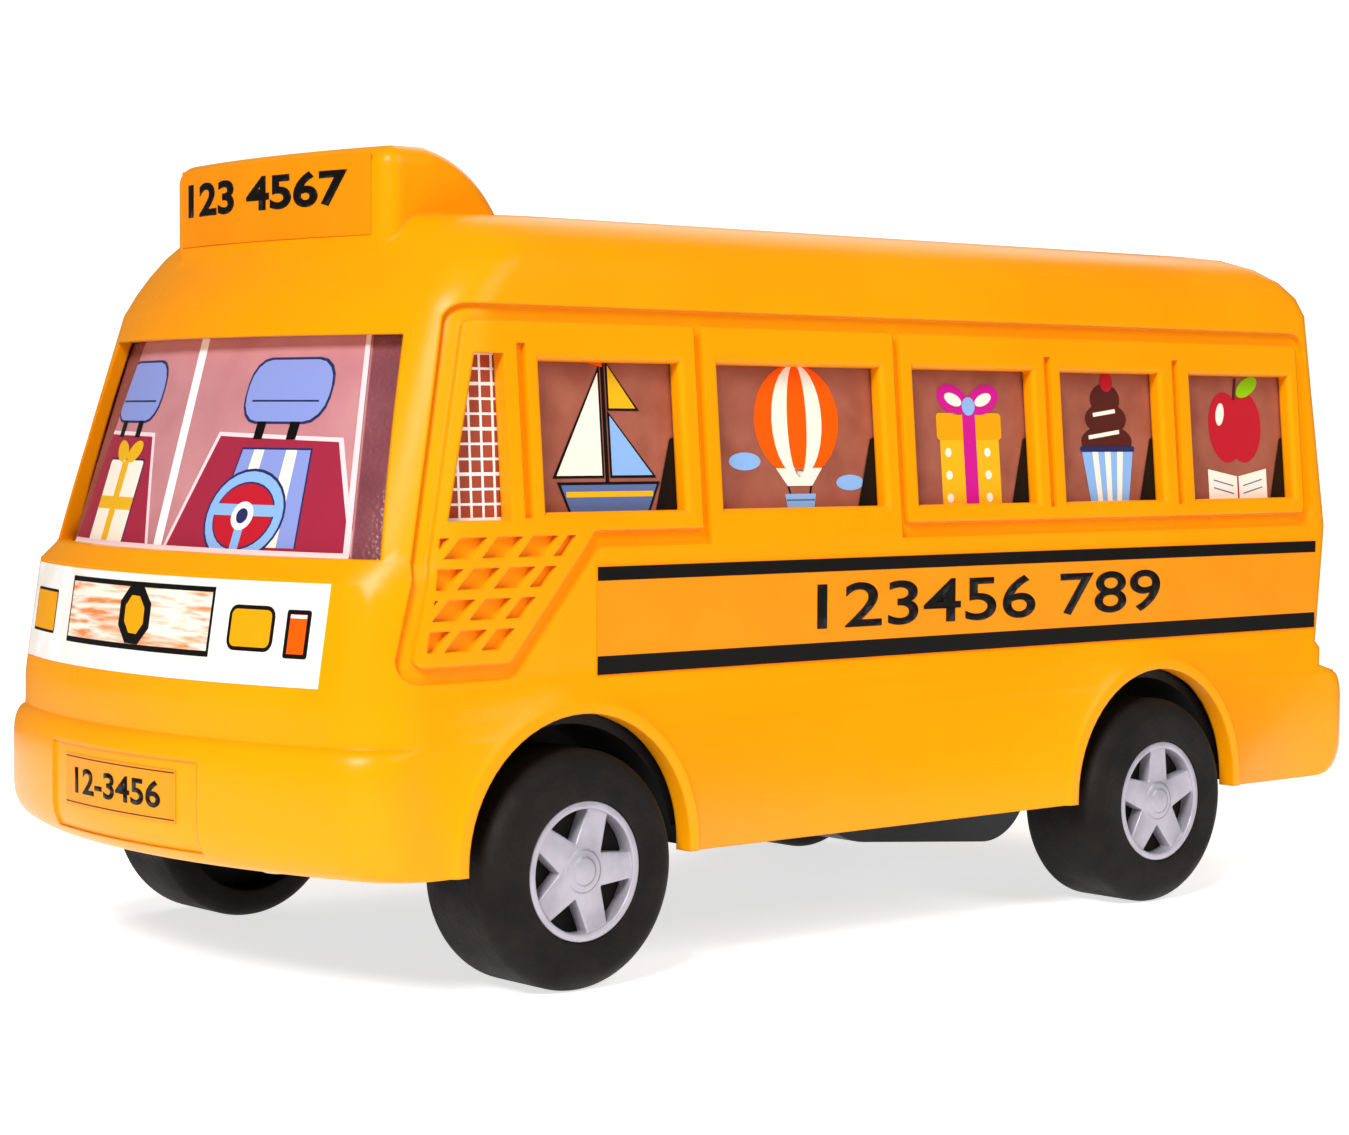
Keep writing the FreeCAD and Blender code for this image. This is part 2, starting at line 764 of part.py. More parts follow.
def make_body_shell():
    """The yellow moulded body with its windows, arches, mouldings, sign and screw posts."""
    wall = size("shell_wall")
    over = size("overrun")
    wide = size("flare_half_width") + over
    shell = hull(0).cut(hull(-wall))
    grooves = side_grooves(0, wide).common(skin(-size("groove_depth"), over))
    cells = lattice_cells(0, wide).common(skin(-size("lattice_depth"), over))
    cutters = both_sides(grooves) + both_sides(cells)
    quarter = side_prism(quarter_window(), -wide, wide)
    screen = front_prism([(-size("screen_sill_half_width"), size("screen_sill")),
                          (size("screen_sill_half_width"), size("screen_sill")),
                          (size("screen_head_half_width"), size("screen_head")),
                          (-size("screen_head_half_width"), size("screen_head"))],
                         -size("bumper_reach"), -size("bumper_reach") + size("screen_depth"))
    half = size("tail_window_half_width")
    tail_window = block((-half, half), (size("window_rear"), size("bumper_reach")),
                        (size("window_sill"), size("window_head")))
    bumper_half = size("bumper_panel_half_width")
    bumper_panel = block((-bumper_half, bumper_half), (-size("bumper_reach") - over, 0),
                         (size("bumper_panel_foot"), size("bumper_panel_top")))
    bumper_panel = bumper_panel.common(skin(-size("bumper_panel_depth"), over))
    cutters += [quarter, screen, tail_window, bumper_panel]
    for axle_y in axle_places():
        cutters.append(arch_cutter(axle_y, size("arch_radius"), -wide, wide))
    for front, rear in window_places():
        hole = leaned(frame_slab(front, rear, size("side_half_width") - wall - over,
                                 size("side_half_width") + over))
        cutters += both_sides(hole)
    shell = shell.cut(cutters)

    added = []
    for front, rear in window_places():
        added += both_sides(leaned(window_frame(front, rear)))
    for axle_y in axle_places():
        added += both_sides(arch_flare(axle_y))
    for x, y, hand in post_places():
        height = size("post_top") - chassis_top()
        post = Part.makeCylinder(size("post_radius"), height, Vector(x, y, chassis_top()))
        reach = hand * size("post_web_reach")
        web = block((x - size("post_web") / 2, x + size("post_web") / 2), sorted((y, reach)),
                    (chassis_top(), size("post_top")))
        added.append(post.fuse(web.common(hull(-wall / 2))))
    added.append(sign_outside().cut(hull(-wall / 2)))
    shell = shell.fuse(added)
    pilots = []
    for x, y, hand in post_places():
        depth = size("screw_length") - size("chassis_thickness") + size("screw_head_height")
        pilots.append(Part.makeCylinder(size("screw_radius"), depth, Vector(x, y, chassis_top())))
    hollow = sign_block(-wall).common(block((-wide, wide), (-size("bumper_reach"), 0),
                                            (size("sign_root"), size("sign_top"))))
    shell = shell.cut(pilots + [hollow])
    return feature("body_shell", shell.removeSplitter())


# Window moulding and labels

def insert_depth():
    """How far the window moulding lies inside the body's outside."""
    return size("shell_wall") + size("insert_gap")


def make_window_insert():
    """The grained moulding that closes every window from inside."""
    depth = insert_depth()
    wide = size("flare_half_width")
    span = (-size("bumper_reach"), size("bumper_reach"))
    outer = hull(-depth).common(block((-wide, wide), span, (size("insert_foot"), size("insert_top"))))
    inner = hull(-depth - size("insert_wall"))
    inner = inner.common(block((-wide, wide), span, (size("skirt_bottom"),
                                                     size("insert_top") - size("insert_wall"))))
    return feature("window_insert", outer.cut(inner).removeSplitter())


def patch(depth, prism):
    """A printed label on the hull at a depth, trimmed by a prism."""
    return skin(-depth, size("label_thickness") - depth).common(prism)


def solids_of(shape):
    """A lone solid, or a group of the separate solids in a shape."""
    return shape.Solids[0] if len(shape.Solids) == 1 else Part.makeCompound(shape.Solids)


def make_labels():
    """Every printed label, each lying on the face that carries it."""
    wide = size("flare_half_width")
    front_end = -size("bumper_reach")
    rear_end = size("bumper_reach")
    margin = size("print_margin")
    depth = insert_depth()
    half = size("face_label_half_width")
    feature("front_band_label", solids_of(patch(0, block(
        (-half, half), (front_end, front_end / 2), (size("face_label_foot"), size("face_label_top"))))))
    screen = front_prism([(-size("screen_print_sill_half_width"), size("screen_sill") - margin),
                          (size("screen_print_sill_half_width"), size("screen_sill") - margin),
                          (size("screen_print_head_half_width"), size("screen_head") + margin),
                          (-size("screen_print_head_half_width"), size("screen_head") + margin)],
                         front_end, front_end / 2)
    feature("windscreen_label", solids_of(patch(depth, screen)))
    band = patch(0, block((0, wide), (-size("band_front"), size("band_rear")),
                          (size("band_foot"), size("band_top"))))
    windows = [side_prism(quarter_window(margin), 0, wide)]
    for front, rear in window_places():
        windows.append(block((0, wide), (front - margin, rear + margin),
                             (size("window_sill") - margin, size("window_head") + margin)))
    windows = patch(depth, Part.makeCompound(windows))
    for hand, name in ((0, "left"), (1, "right")):
        feature("side_band_label_" + name, solids_of(both_sides(band)[hand]))
        feature("side_window_labels_" + name, solids_of(both_sides(windows)[hand]))
    half = size("tail_window_half_width") + margin
    feature("rear_window_label", solids_of(patch(depth, block(
        (-half, half), (rear_end / 2, rear_end),
        (size("window_sill") - margin, size("window_head") + margin)))))
    half = size("plate_half_width")
    plate_rise = (size("plate_foot"), size("plate_top"))
    feature("front_number_plate", solids_of(patch(size("bumper_panel_depth"), block(
        (-half, half), (front_end, front_end / 2), plate_rise))))
    feature("rear_number_plate", solids_of(patch(0, block(
        (-half, half), (rear_end / 2, rear_end + size("overrun")), plate_rise))))
    lamp = block((size("lamp_inner"), size("lamp_outer")), (rear_end / 2, rear_end),
                 (size("lamp_foot"), size("lamp_top")))
    feature("tail_lamp_labels", Part.makeCompound(both_sides(solids_of(patch(0, lamp)))))
    half = size("sign_label_half_width")
    bow = size("sign_bow_radius")
    film = sign_bow(bow + size("label_thickness")).cut(sign_bow(bow))
    feature("sign_label", solids_of(film.common(block(
        (-half, half), (front_end, -size("sign_back_reach")),
        (size("sign_label_foot"), size("sign_label_top"))))))


# Chassis

FRONT_AXLE = "-front_axle_reach"
REAR_AXLE = "wheelbase - front_axle_reach"


def gear_distance(first_teeth, second_teeth):
    """Distance between the axes of two meshing gears."""
    return size("gear_module") * (first_teeth + second_teeth) / 2


def gear_line():
    """Unit vector from the rear axle towards the winding gear, in the plane of the wheels."""
    total = gear_distance(PINION_TEETH, WHEEL_GEAR_TEETH) + gear_distance(SMALL_GEAR_TEETH,
                                                                          WINDING_GEAR_TEETH)
    fall = size("motor_fall")
    return Vector(0, -math.sqrt(total ** 2 - fall ** 2) / total, fall / total), total


def gear_axes():
    """Centres of the rear axle, the reduction gear and the winding gear at X = 0."""
    line, total = gear_line()
    rear = Vector(0, axle_places()[1], size("tyre_radius"))
    middle = rear + line * gear_distance(PINION_TEETH, WHEEL_GEAR_TEETH)
    return rear, middle, rear + line * total


def make_chassis():
    """The black base plate with wheel wells, axle saddles, ribs and the motor's window."""
    wide = size("bumper_reach")
    slab = block((-wide, wide), (-wide, wide), (size("chassis_underside"), chassis_top()))
    plate = hull(-size("shell_wall") - size("chassis_gap")).common(slab)
    solids = [feature("chassis_plate", plate)]
    cutters = []
    well_width = "well_outer_face - well_inner_face"
    for end, axle in (("front", FRONT_AXLE), ("rear", REAR_AXLE)):
        for hand, name in ((1, "left"), (-1, "right")):
            tag = "_%s_%s" % (end, name)
            outer_x = "well_inner_face - well_wall" if hand == 1 else "-well_outer_face"
            inner_x = "well_inner_face" if hand == 1 else "-skirt_half_width - overrun"
            well = cross_rod("well" + tag, "well_radius + well_wall", well_width + " + well_wall",
                             outer_x, axle, "tyre_radius")
            trim = box("well_trim" + tag, "4 * well_radius", "4 * well_radius", "2 * well_radius",
                       "-2 * well_radius + %d * well_outer_face" % hand, axle + " - 2 * well_radius",
                       "chassis_underside - 2 * well_radius")
            solids.append(cut("well_upper" + tag, well, [trim]))
            cutters.append(cross_rod("well_space" + tag, "well_radius",
                                     "skirt_half_width + overrun - well_inner_face",
                                     inner_x, axle, "tyre_radius"))
            saddle_x = "saddle_inner_face" if hand == 1 else "-saddle_inner_face - saddle_width"
            solids.append(box("saddle" + tag, "saddle_width", "saddle_length",
                              "chassis_underside - saddle_bottom", saddle_x,
                              axle + " - saddle_length / 2", "saddle_bottom"))
            cutters.append(box("saddle_mouth" + tag, "saddle_width + overrun", "saddle_mouth",
                               "tyre_radius - saddle_bottom + overrun", saddle_x + " - overrun / 2",
                               axle + " - saddle_mouth / 2", "saddle_bottom - overrun"))
        cutters.append(cross_rod("axle_hole_" + end, "axle_radius + running_gap",
                                 "2 * well_inner_face - well_wall", "-well_inner_face + well_wall / 2",
                                 axle, "tyre_radius"))
    for hand in (1, -1):
        rib_x = "%d * chassis_rib_offset - chassis_rib_width / 2" % hand
        solids.append(box("chassis_rib_%s" % ("left" if hand == 1 else "right"), "chassis_rib_width",
                          "face_reach + tail_reach - 8 * post_radius", "chassis_rib_depth", rib_x,
                          "4 * post_radius - face_reach", "chassis_underside - chassis_rib_depth"))
    base = cut("chassis_base", fuse("chassis_solids", solids), cutters)
    doc.recompute()
    # The motor's window, the lug posts below the plate and the screw holes follow the motor.
    shape = base.Shape
    rear, middle, front = gear_axes()
    gap = size("case_gap")
    window = block((-size("case_half_width") - gap, size("case_half_width") + gap),
                   (front.y - size("case_front_radius") - size("case_wall") - gap,
                    rear.y + size("case_rear_radius") + 2 * ear_radius() + size("case_wall") + gap),
                   (0, size("post_top")))
    posts = [underside_panel(window.BoundBox.YMin)]
    holes = [window]
    for x, y in lug_screw_places():
        posts.append(Part.makeCylinder(size("lug_post_radius"), size("lug_post_depth"),
                                       Vector(x, y, size("chassis_underside") - size("lug_post_depth"))))
        foot = size("chassis_underside") - size("lug_post_depth") + size("chassis_rib_width")
        holes.append(Part.makeCylinder(size("screw_radius"), chassis_top() - foot, Vector(x, y, foot)))
    for x, y, hand in post_places():
        holes.append(Part.makeCylinder(size("screw_radius") + size("screw_gap"),
                                       size("chassis_thickness") + size("overrun"),
                                       Vector(x, y, size("chassis_underside") - size("overrun") / 2)))
    feature("chassis", shape.fuse(posts).cut(holes).removeSplitter())


def underside_panel(window_front):
    """The bare raised panel between the ribs, from the front saddles to the motor's window."""
    half = size("chassis_rib_offset") - size("chassis_rib_width") / 2 - size("panel_margin")
    start = size("saddle_length") / 2 + size("panel_margin") + axle_places()[0]
    end = window_front - size("panel_margin")
    foot = size("chassis_underside") - size("panel_depth")
    plate = block((-half, half), (start, end), (foot, size("chassis_underside")))
    uprights = [edge for edge in plate.Edges if edge.BoundBox.ZLength > size("panel_depth") / 2]
    return plate.makeFillet(size("panel_corner"), uprights)


def lug_screw_places():
    """(X, Y) of the two screws that hold the motor down, one each side."""
    rear, middle, front = gear_axes()
    across = size("case_half_width") + size("lug_width") / 2
    return [(across, middle.y), (-across, front.y)]


# Screws

def screw(length, name):
    """A pan head screw that points up, with its head's seat at its own origin."""
    body = doc.addObject("PartDesign::Body", name + "_body")
    plane = next(o for o in body.Origin.OriginFeatures if o.Role == "XY_Plane")
    shank_sketch = body.newObject("Sketcher::SketchObject", name + "_shank_sketch")
    shank_sketch.AttachmentSupport = [(plane, "")]
    shank_sketch.MapMode = "FlatFace"
    shank_sketch.addGeometry(Part.Circle(ORIGIN, ALONG_Z, size("screw_radius")))
    shank_sketch.addConstraint(Sketcher.Constraint("Coincident", 0, 3, -1, 1))
    radius = shank_sketch.addConstraint(Sketcher.Constraint("Radius", 0, size("screw_radius")))
    shank_sketch.setExpression("Constraints[%d]" % radius, formula("screw_radius"))
    shank = body.newObject("PartDesign::Pad", name + "_shank")
    shank.Profile = shank_sketch
    bind(shank, Length=length)
    head_sketch = body.newObject("Sketcher::SketchObject", name + "_head_sketch")
    head_sketch.AttachmentSupport = [(plane, "")]
    head_sketch.MapMode = "FlatFace"
    head_sketch.addGeometry(Part.Circle(ORIGIN, ALONG_Z, size("screw_head_radius")))
    head_sketch.addConstraint(Sketcher.Constraint("Coincident", 0, 3, -1, 1))
    radius = head_sketch.addConstraint(Sketcher.Constraint("Radius", 0, size("screw_head_radius")))
    head_sketch.setExpression("Constraints[%d]" % radius, formula("screw_head_radius"))
    head = body.newObject("PartDesign::Pad", name + "_head")
    head.Profile = head_sketch
    head.Reversed = True
    bind(head, Length="screw_head_height")
    doc.recompute()
    rim = [("Edge%d" % i) for i, e in enumerate(head.Shape.Edges, start=1)
           if abs(e.CenterOfMass.z + size("screw_head_height")) < size("label_thickness")
           and abs(e.Length - 2 * math.pi * size("screw_head_radius")) < size("label_thickness")]
    dome = body.newObject("PartDesign::Fillet", name + "_dome")
    dome.Base = (head, rim)
    bind(dome, Radius="screw_head_height * %s" % DOME_SHARE)
    doc.recompute()
    slots = []
    for turn in (0, 90):
        reach = size("screw_head_radius") * SLOT_REACH_SHARE
        bar = block((-reach, reach), (-size("screw_slot") / 2, size("screw_slot") / 2),
                    (-size("screw_head_height") - size("screw_slot"),
                     -size("screw_head_height") * SLOT_DEPTH_SHARE))
        slots.append(bar.rotate(ORIGIN, ALONG_Z, turn))
    return body.Shape.cut(slots)


def make_screws():
    """The screws of the chassis, of the motor's lugs and of the motor case."""
    long_screw = screw("screw_length", "chassis_screw")
    group = []
    for x, y, hand in post_places():
        one = long_screw.copy()
        one.translate(Vector(x, y, size("chassis_underside")))
        group.append(one)
    feature("chassis_screws", Part.makeCompound(group))
    short_screw = screw("lug_screw_length - screw_head_height", "lug_screw")
    group = []
    for x, y in lug_screw_places():
        one = short_screw.copy().rotate(ORIGIN, ALONG_X, 180)
        one.translate(Vector(x, y, chassis_top() + size("lug_height")))
        group.append(one)
    feature("motor_screws", Part.makeCompound(group))
    case_screw = screw("case_screw_length", "case_screw")
    group = []
    for y, z in case_screw_places():
        one = case_screw.copy().rotate(ORIGIN, ALONG_Y, -90)
        one.translate(Vector(size("case_half_width"), y, z))
        group.append(one)
    feature("case_screws", Part.makeCompound(group))


# Wheels and axles

def make_axle(label, y):
    """A steel axle across the bus."""
    body = doc.addObject("PartDesign::Body", label)
    plane = next(o for o in body.Origin.OriginFeatures if o.Role == "YZ_Plane")
    sketch = body.newObject("Sketcher::SketchObject", label + "_section")
    sketch.AttachmentSupport = [(plane, "")]
    sketch.MapMode = "FlatFace"
    sketch.addGeometry(Part.Circle(ORIGIN, ALONG_Z, size("axle_radius")))
    sketch.addConstraint(Sketcher.Constraint("Coincident", 0, 3, -1, 1))
    radius = sketch.addConstraint(Sketcher.Constraint("Radius", 0, size("axle_radius")))
    sketch.setExpression("Constraints[%d]" % radius, formula("axle_radius"))
    rod = body.newObject("PartDesign::Pad", label + "_rod")
    rod.Profile = sketch
    rod.Midplane = True
    bind(rod, Length="2 * axle_end")
    place(body, "0", y, "tyre_radius")
    label_as(body, label)


def make_tyre(label, y, hand):
    """A soft black wheel with rounded shoulders, a socket for its hub and a bossed back."""
    tag = label + "_"
    turn = "-wheel_face" if hand == -1 else "wheel_face - tyre_width"
    tread = cross_rod(tag + "tread", "tyre_radius", "tyre_width", turn, y, "tyre_radius")
    doc.recompute()
    rounded = doc.addObject("Part::Fillet", tag + "shoulders")
    rounded.Base = tread
    edges = []
    for index, edge in enumerate(tread.Shape.Edges, start=1):
        if abs(edge.Length - 2 * math.pi * size("tyre_radius")) < size("label_thickness"):
            outside = abs(edge.CenterOfMass.x) > size("wheel_face") - size("tyre_shoulder")
            radius = size("tyre_shoulder" if outside else "tyre_inner_shoulder")
            edges.append((index, radius, radius))
    rounded.Edges = edges
    socket = cross_rod(tag + "socket", "hub_radius + hub_play", "hub_depth + hub_face_drop + overrun",
                       "-wheel_face - overrun" if hand == -1 else "wheel_face - hub_depth - hub_face_drop",
                       y, "tyre_radius")
    bore = cross_rod(tag + "bore", "axle_radius", "tyre_width", turn, y, "tyre_radius")
    recess_x = "-wheel_face + tyre_width - tyre_recess_depth" if hand == -1 else (
        "wheel_face - tyre_width - overrun")
    recess = cross_rod(tag + "recess", "tyre_recess_radius", "tyre_recess_depth + overrun", recess_x,
                       y, "tyre_radius")
    boss = cross_rod(tag + "boss", "tyre_boss_radius", "tyre_recess_depth + 2 * overrun",
                     recess_x + " - overrun / 2", y, "tyre_radius")
    ring = cut(tag + "recess_ring", recess, [boss])
    label_as(cut(tag + "wheel", rounded, [socket, bore, ring]), label)


def circle_pad(body, name, plane, radius, length):
    """A round pad of a body, from its plane."""
    sketch = body.newObject("Sketcher::SketchObject", name + "_sketch")
    sketch.AttachmentSupport = [(plane, "")]
    sketch.MapMode = "FlatFace"
    sketch.addGeometry(Part.Circle(ORIGIN, ALONG_Z, size("hub_radius")))
    sketch.addConstraint(Sketcher.Constraint("Coincident", 0, 3, -1, 1))
    index = sketch.addConstraint(Sketcher.Constraint("Radius", 0, size("hub_radius")))
    sketch.setExpression("Constraints[%d]" % index, formula(radius))
    pad = body.newObject("PartDesign::Pad", name)
    pad.Profile = sketch
    bind(pad, Length=length)
    return pad


def make_hub(label, y, hand):
    """A silver hub: a rim, five spokes with open gaps between them and a stepped boss."""
    body = doc.addObject("PartDesign::Body", label)
    plane = next(o for o in body.Origin.OriginFeatures if o.Role == "XY_Plane")
    circle_pad(body, label + "_disc", plane, "hub_radius", "hub_depth")
    dish = body.newObject("Sketcher::SketchObject", label + "_dish_sketch")
    dish.AttachmentSupport = [(plane, "")]
    dish.MapMode = "FlatFace"
    dish.addGeometry(Part.Circle(ORIGIN, ALONG_Z, size("hub_radius") - size("rim_width")))
    dish.addConstraint(Sketcher.Constraint("Coincident", 0, 3, -1, 1))
    index = dish.addConstraint(Sketcher.Constraint("Radius", 0, size("hub_radius") - size("rim_width")))
    dish.setExpression("Constraints[%d]" % index, formula("hub_radius - rim_width"))
    pocket = body.newObject("PartDesign::Pocket", label + "_dish")
    pocket.Profile = dish
    pocket.Reversed = True
    bind(pocket, Length="hub_depth")
    spoke = body.newObject("Sketcher::SketchObject", label + "_spoke_sketch")
    spoke.AttachmentSupport = [(plane, "")]
    spoke.MapMode = "FlatFace"
    root = size("spoke_root_width") / 2
    tip = size("spoke_tip_width") / 2
    reach = size("hub_radius") - size("rim_width") / 2
    points = [Vector(0, -root, 0), Vector(reach, -tip, 0), Vector(reach, tip, 0), Vector(0, root, 0)]
    for start, end in zip(points, points[1:] + points[:1]):
        spoke.addGeometry(Part.LineSegment(start, end))
    for line in range(4):
        spoke.addConstraint(Sketcher.Constraint("Coincident", line, 2, (line + 1) % 4, 1))
    spoke.addConstraint(Sketcher.Constraint("PointOnObject", 3, 2, -2))
    spoke.addConstraint(Sketcher.Constraint("Symmetric", 3, 1, 3, 2, -1))
    spoke.addConstraint(Sketcher.Constraint("Symmetric", 1, 1, 1, 2, -1))
    for line, words in ((3, "spoke_root_width"), (1, "spoke_tip_width")):
        index = spoke.addConstraint(Sketcher.Constraint("Distance", line, size(words)))
        spoke.setExpression("Constraints[%d]" % index, formula(words))
    index = spoke.addConstraint(Sketcher.Constraint("DistanceX", 3, 2, 1, 1, reach))
    spoke.setExpression("Constraints[%d]" % index, formula("hub_radius - rim_width / 2"))
    arm = body.newObject("PartDesign::Pad", label + "_spoke")
    arm.Profile = spoke
    bind(arm, Length="spoke_height")
    star = body.newObject("PartDesign::PolarPattern", label + "_star")
    star.Originals = [arm]
    star.Axis = (spoke, ["N_Axis"])
    star.Angle = 360
    star.Occurrences = SPOKE_COUNT
    body.Tip = star
    circle_pad(body, label + "_boss", plane, "boss_radius", "boss_height")
    circle_pad(body, label + "_cap", plane, "cap_radius", "hub_depth")
    doc.recompute()
    shape = body.Shape
    seat = Part.makeCylinder(size("axle_radius"), size("axle_end") - size("wheel_face")
                             + size("hub_depth") + size("hub_face_drop"))
    end = 0 if y == FRONT_AXLE else 1
    turned = FreeCAD.Rotation(ALONG_X, HUB_TURNS[end]) * FreeCAD.Rotation(ALONG_Y, 90 * hand)
    foot = hand * (size("wheel_face") - size("hub_face_drop") - size("hub_depth"))
    body.Label = label + "_moulding"
    feature(label, shape.cut(seat), Vector(foot, axle_places()[end], size("tyre_radius")), turned)


# Motor

def involute(angle):
    """The involute function of a pressure angle."""
    return math.tan(angle) - angle


def gear_solid(teeth, start, width, phase):
    """A spur gear across the bus, centred on the X axis, with one tooth at a phase angle."""
    module = size("gear_module")
    pitch = module * teeth / 2
    tip = pitch + module
    root = pitch - module * DEDENDUM_SHARE
    base = pitch * math.cos(PRESSURE_ANGLE)
    half_tooth = math.pi / (2 * teeth) - size("tooth_play") / (2 * pitch)

    def half_at(radius):
        return half_tooth + involute(PRESSURE_ANGLE) - involute(math.acos(min(1.0, base / radius)))

    def point(radius, angle):
        return Vector(start, radius * math.cos(angle), radius * math.sin(angle))

    low = max(base, root)
    middle = (low + tip) / 2
    edges = []
    for tooth in range(teeth):
        centre = phase + 2 * math.pi * tooth / teeth
        next_centre = centre + 2 * math.pi / teeth
        if root < base:
            edges.append(Part.LineSegment(point(root, centre - half_at(base)),
                                          point(low, centre - half_at(base))).toShape())
        edges.append(Part.Arc(point(low, centre - half_at(low)), point(middle, centre - half_at(middle)),
                              point(tip, centre - half_at(tip))).toShape())
        edges.append(Part.Arc(point(tip, centre - half_at(tip)), point(tip, centre),
                              point(tip, centre + half_at(tip))).toShape())
        edges.append(Part.Arc(point(tip, centre + half_at(tip)), point(middle, centre + half_at(middle)),
                              point(low, centre + half_at(low))).toShape())
        if root < base:
            edges.append(Part.LineSegment(point(low, centre + half_at(base)),
                                          point(root, centre + half_at(base))).toShape())
        foot = half_at(low)
        edges.append(Part.Arc(point(root, centre + foot), point(root, (centre + next_centre) / 2),
                              point(root, next_centre - foot)).toShape())
    return Part.Face(Part.Wire(edges)).extrude(ALONG_X * width)


def make_gears():
    """The pinion on the rear axle, the two-step gear, the winding gear and what they turn on."""
    rear, middle, front = gear_axes()
    line, total = gear_line()
    towards = math.atan2(line.z, line.y)
    inner = size("case_half_width") - size("case_wall")
    pinion = gear_solid(PINION_TEETH, size("pinion_front"), size("pinion_width"), towards)
    bore = cross_cylinder(size("axle_radius"), -inner, inner, 0, 0)
    feature("drive_pinion", pinion.cut(bore), rear)
    step = towards + math.pi + math.pi / WHEEL_GEAR_TEETH
    large = gear_solid(WHEEL_GEAR_TEETH, size("wheel_gear_start"), size("wheel_gear_width"), step)
    small = gear_solid(SMALL_GEAR_TEETH, size("small_gear_start"), size("small_gear_width"), towards)
    sleeve = cross_cylinder(size("sleeve_radius"), size("sleeve_play") - inner,
                            inner - size("sleeve_play"), 0, 0)
    hole = cross_cylinder(size("gear_pin_radius") + size("running_gap"), -inner, inner, 0, 0)
    feature("reduction_gear", large.fuse([small, sleeve]).cut(hole).removeSplitter(), middle)
    seat = inner + size("gear_pin_seat")
    feature("gear_pin", cross_cylinder(size("gear_pin_radius"), -seat, seat, 0, 0), middle)
    step = towards + math.pi + math.pi / WINDING_GEAR_TEETH
    wheel = gear_solid(WINDING_GEAR_TEETH, size("winding_gear_start"), size("winding_gear_width"), step)
    play = size("sleeve_play")
    arbor = cross_cylinder(size("arbor_radius"), play - inner, inner - play, 0, 0)
    seat = inner + size("journal_seat")
    journal = cross_cylinder(size("journal_radius"), -seat, seat, 0, 0)
    feature("winding_gear", wheel.fuse([arbor, journal]).removeSplitter(), front)


def spiral_point(turns, side):
    """A point on one side of the mainspring's strip after some turns."""
    growth = (size("spring_outer") - size("spring_inner") - size("spring_strip")) / SPRING_TURNS
    radius = size("spring_inner") + size("spring_strip") / 2 + growth * turns
    angle = 2 * math.pi * turns
    radius += side * size("spring_strip") / 2
    return Vector(size("spring_start"), radius * math.cos(angle), radius * math.sin(angle))


def make_mainspring():
    """The flat spiral spring, drawn relaxed, as half turns of growing radius."""
    rear, middle, front = gear_axes()
    sides = []
    for side in (-1, 1):
        arcs = []
        for half in range(2 * SPRING_TURNS):
            arcs.append(Part.Arc(spiral_point(half / 2, side), spiral_point((2 * half + 1) / 4, side),
                                 spiral_point((half + 1) / 2, side)).toShape())
        sides.append(arcs)
    inner_end = Part.LineSegment(spiral_point(0, -1), spiral_point(0, 1)).toShape()
    outer_end = Part.LineSegment(spiral_point(SPRING_TURNS, -1), spiral_point(SPRING_TURNS, 1)).toShape()
    face = Part.Face(Part.Wire(sides[0] + [outer_end] + sides[1][::-1] + [inner_end]))
    growth = (size("spring_outer") - size("spring_inner") - size("spring_strip")) / SPRING_TURNS
    print("least gap between turns of the mainspring: %.2f mm" % (growth - size("spring_strip")))
    feature("mainspring", face.extrude(ALONG_X * size("spring_width")), front)


def case_outline(grow, x):
    """Outline of the motor case round the winding gear and the rear axle."""
    rear, middle, front = gear_axes()
    line, total = gear_line()
    big = size("case_front_radius") + grow
    little = size("case_rear_radius") + grow
    angle = math.acos((big - little) / total)
    away = math.atan2(-line.z, -line.y)

    def rim(centre, radius, turn):
        return Vector(x, centre.y + radius * math.cos(turn), centre.z + radius * math.sin(turn))

    upper = away + angle
    lower = away - angle
    edges = [Part.Arc(rim(front, big, upper), rim(front, big, away + math.pi),
                      rim(front, big, lower)).toShape(),
             Part.LineSegment(rim(front, big, lower), rim(rear, little, lower)).toShape(),
             Part.Arc(rim(rear, little, lower), rim(rear, little, away),
                      rim(rear, little, upper)).toShape(),
             Part.LineSegment(rim(rear, little, upper), rim(front, big, upper)).toShape()]
    return Part.Face(Part.Wire(edges))


def ear_radius():
    """Radius of the ears that the case screws pass through."""
    return size("screw_head_radius") + size("case_wall") / 2


def case_screw_places():
    """(Y, Z) of the screws in the ears of the motor case."""
    rear, middle, front = gear_axes()
    line, total = gear_line()
    up = Vector(0, line.z, -line.y)
    outside = size("case_wall") / 2 + ear_radius()
    spots = [rear - line * (size("case_rear_radius") + outside)]
    for share in CASE_EAR_SHARES:
        away = line * share + up * math.sqrt(1 - share ** 2)
        spots.append(front + away * (size("case_front_radius") + outside))
    return [(spot.y, spot.z) for spot in spots]


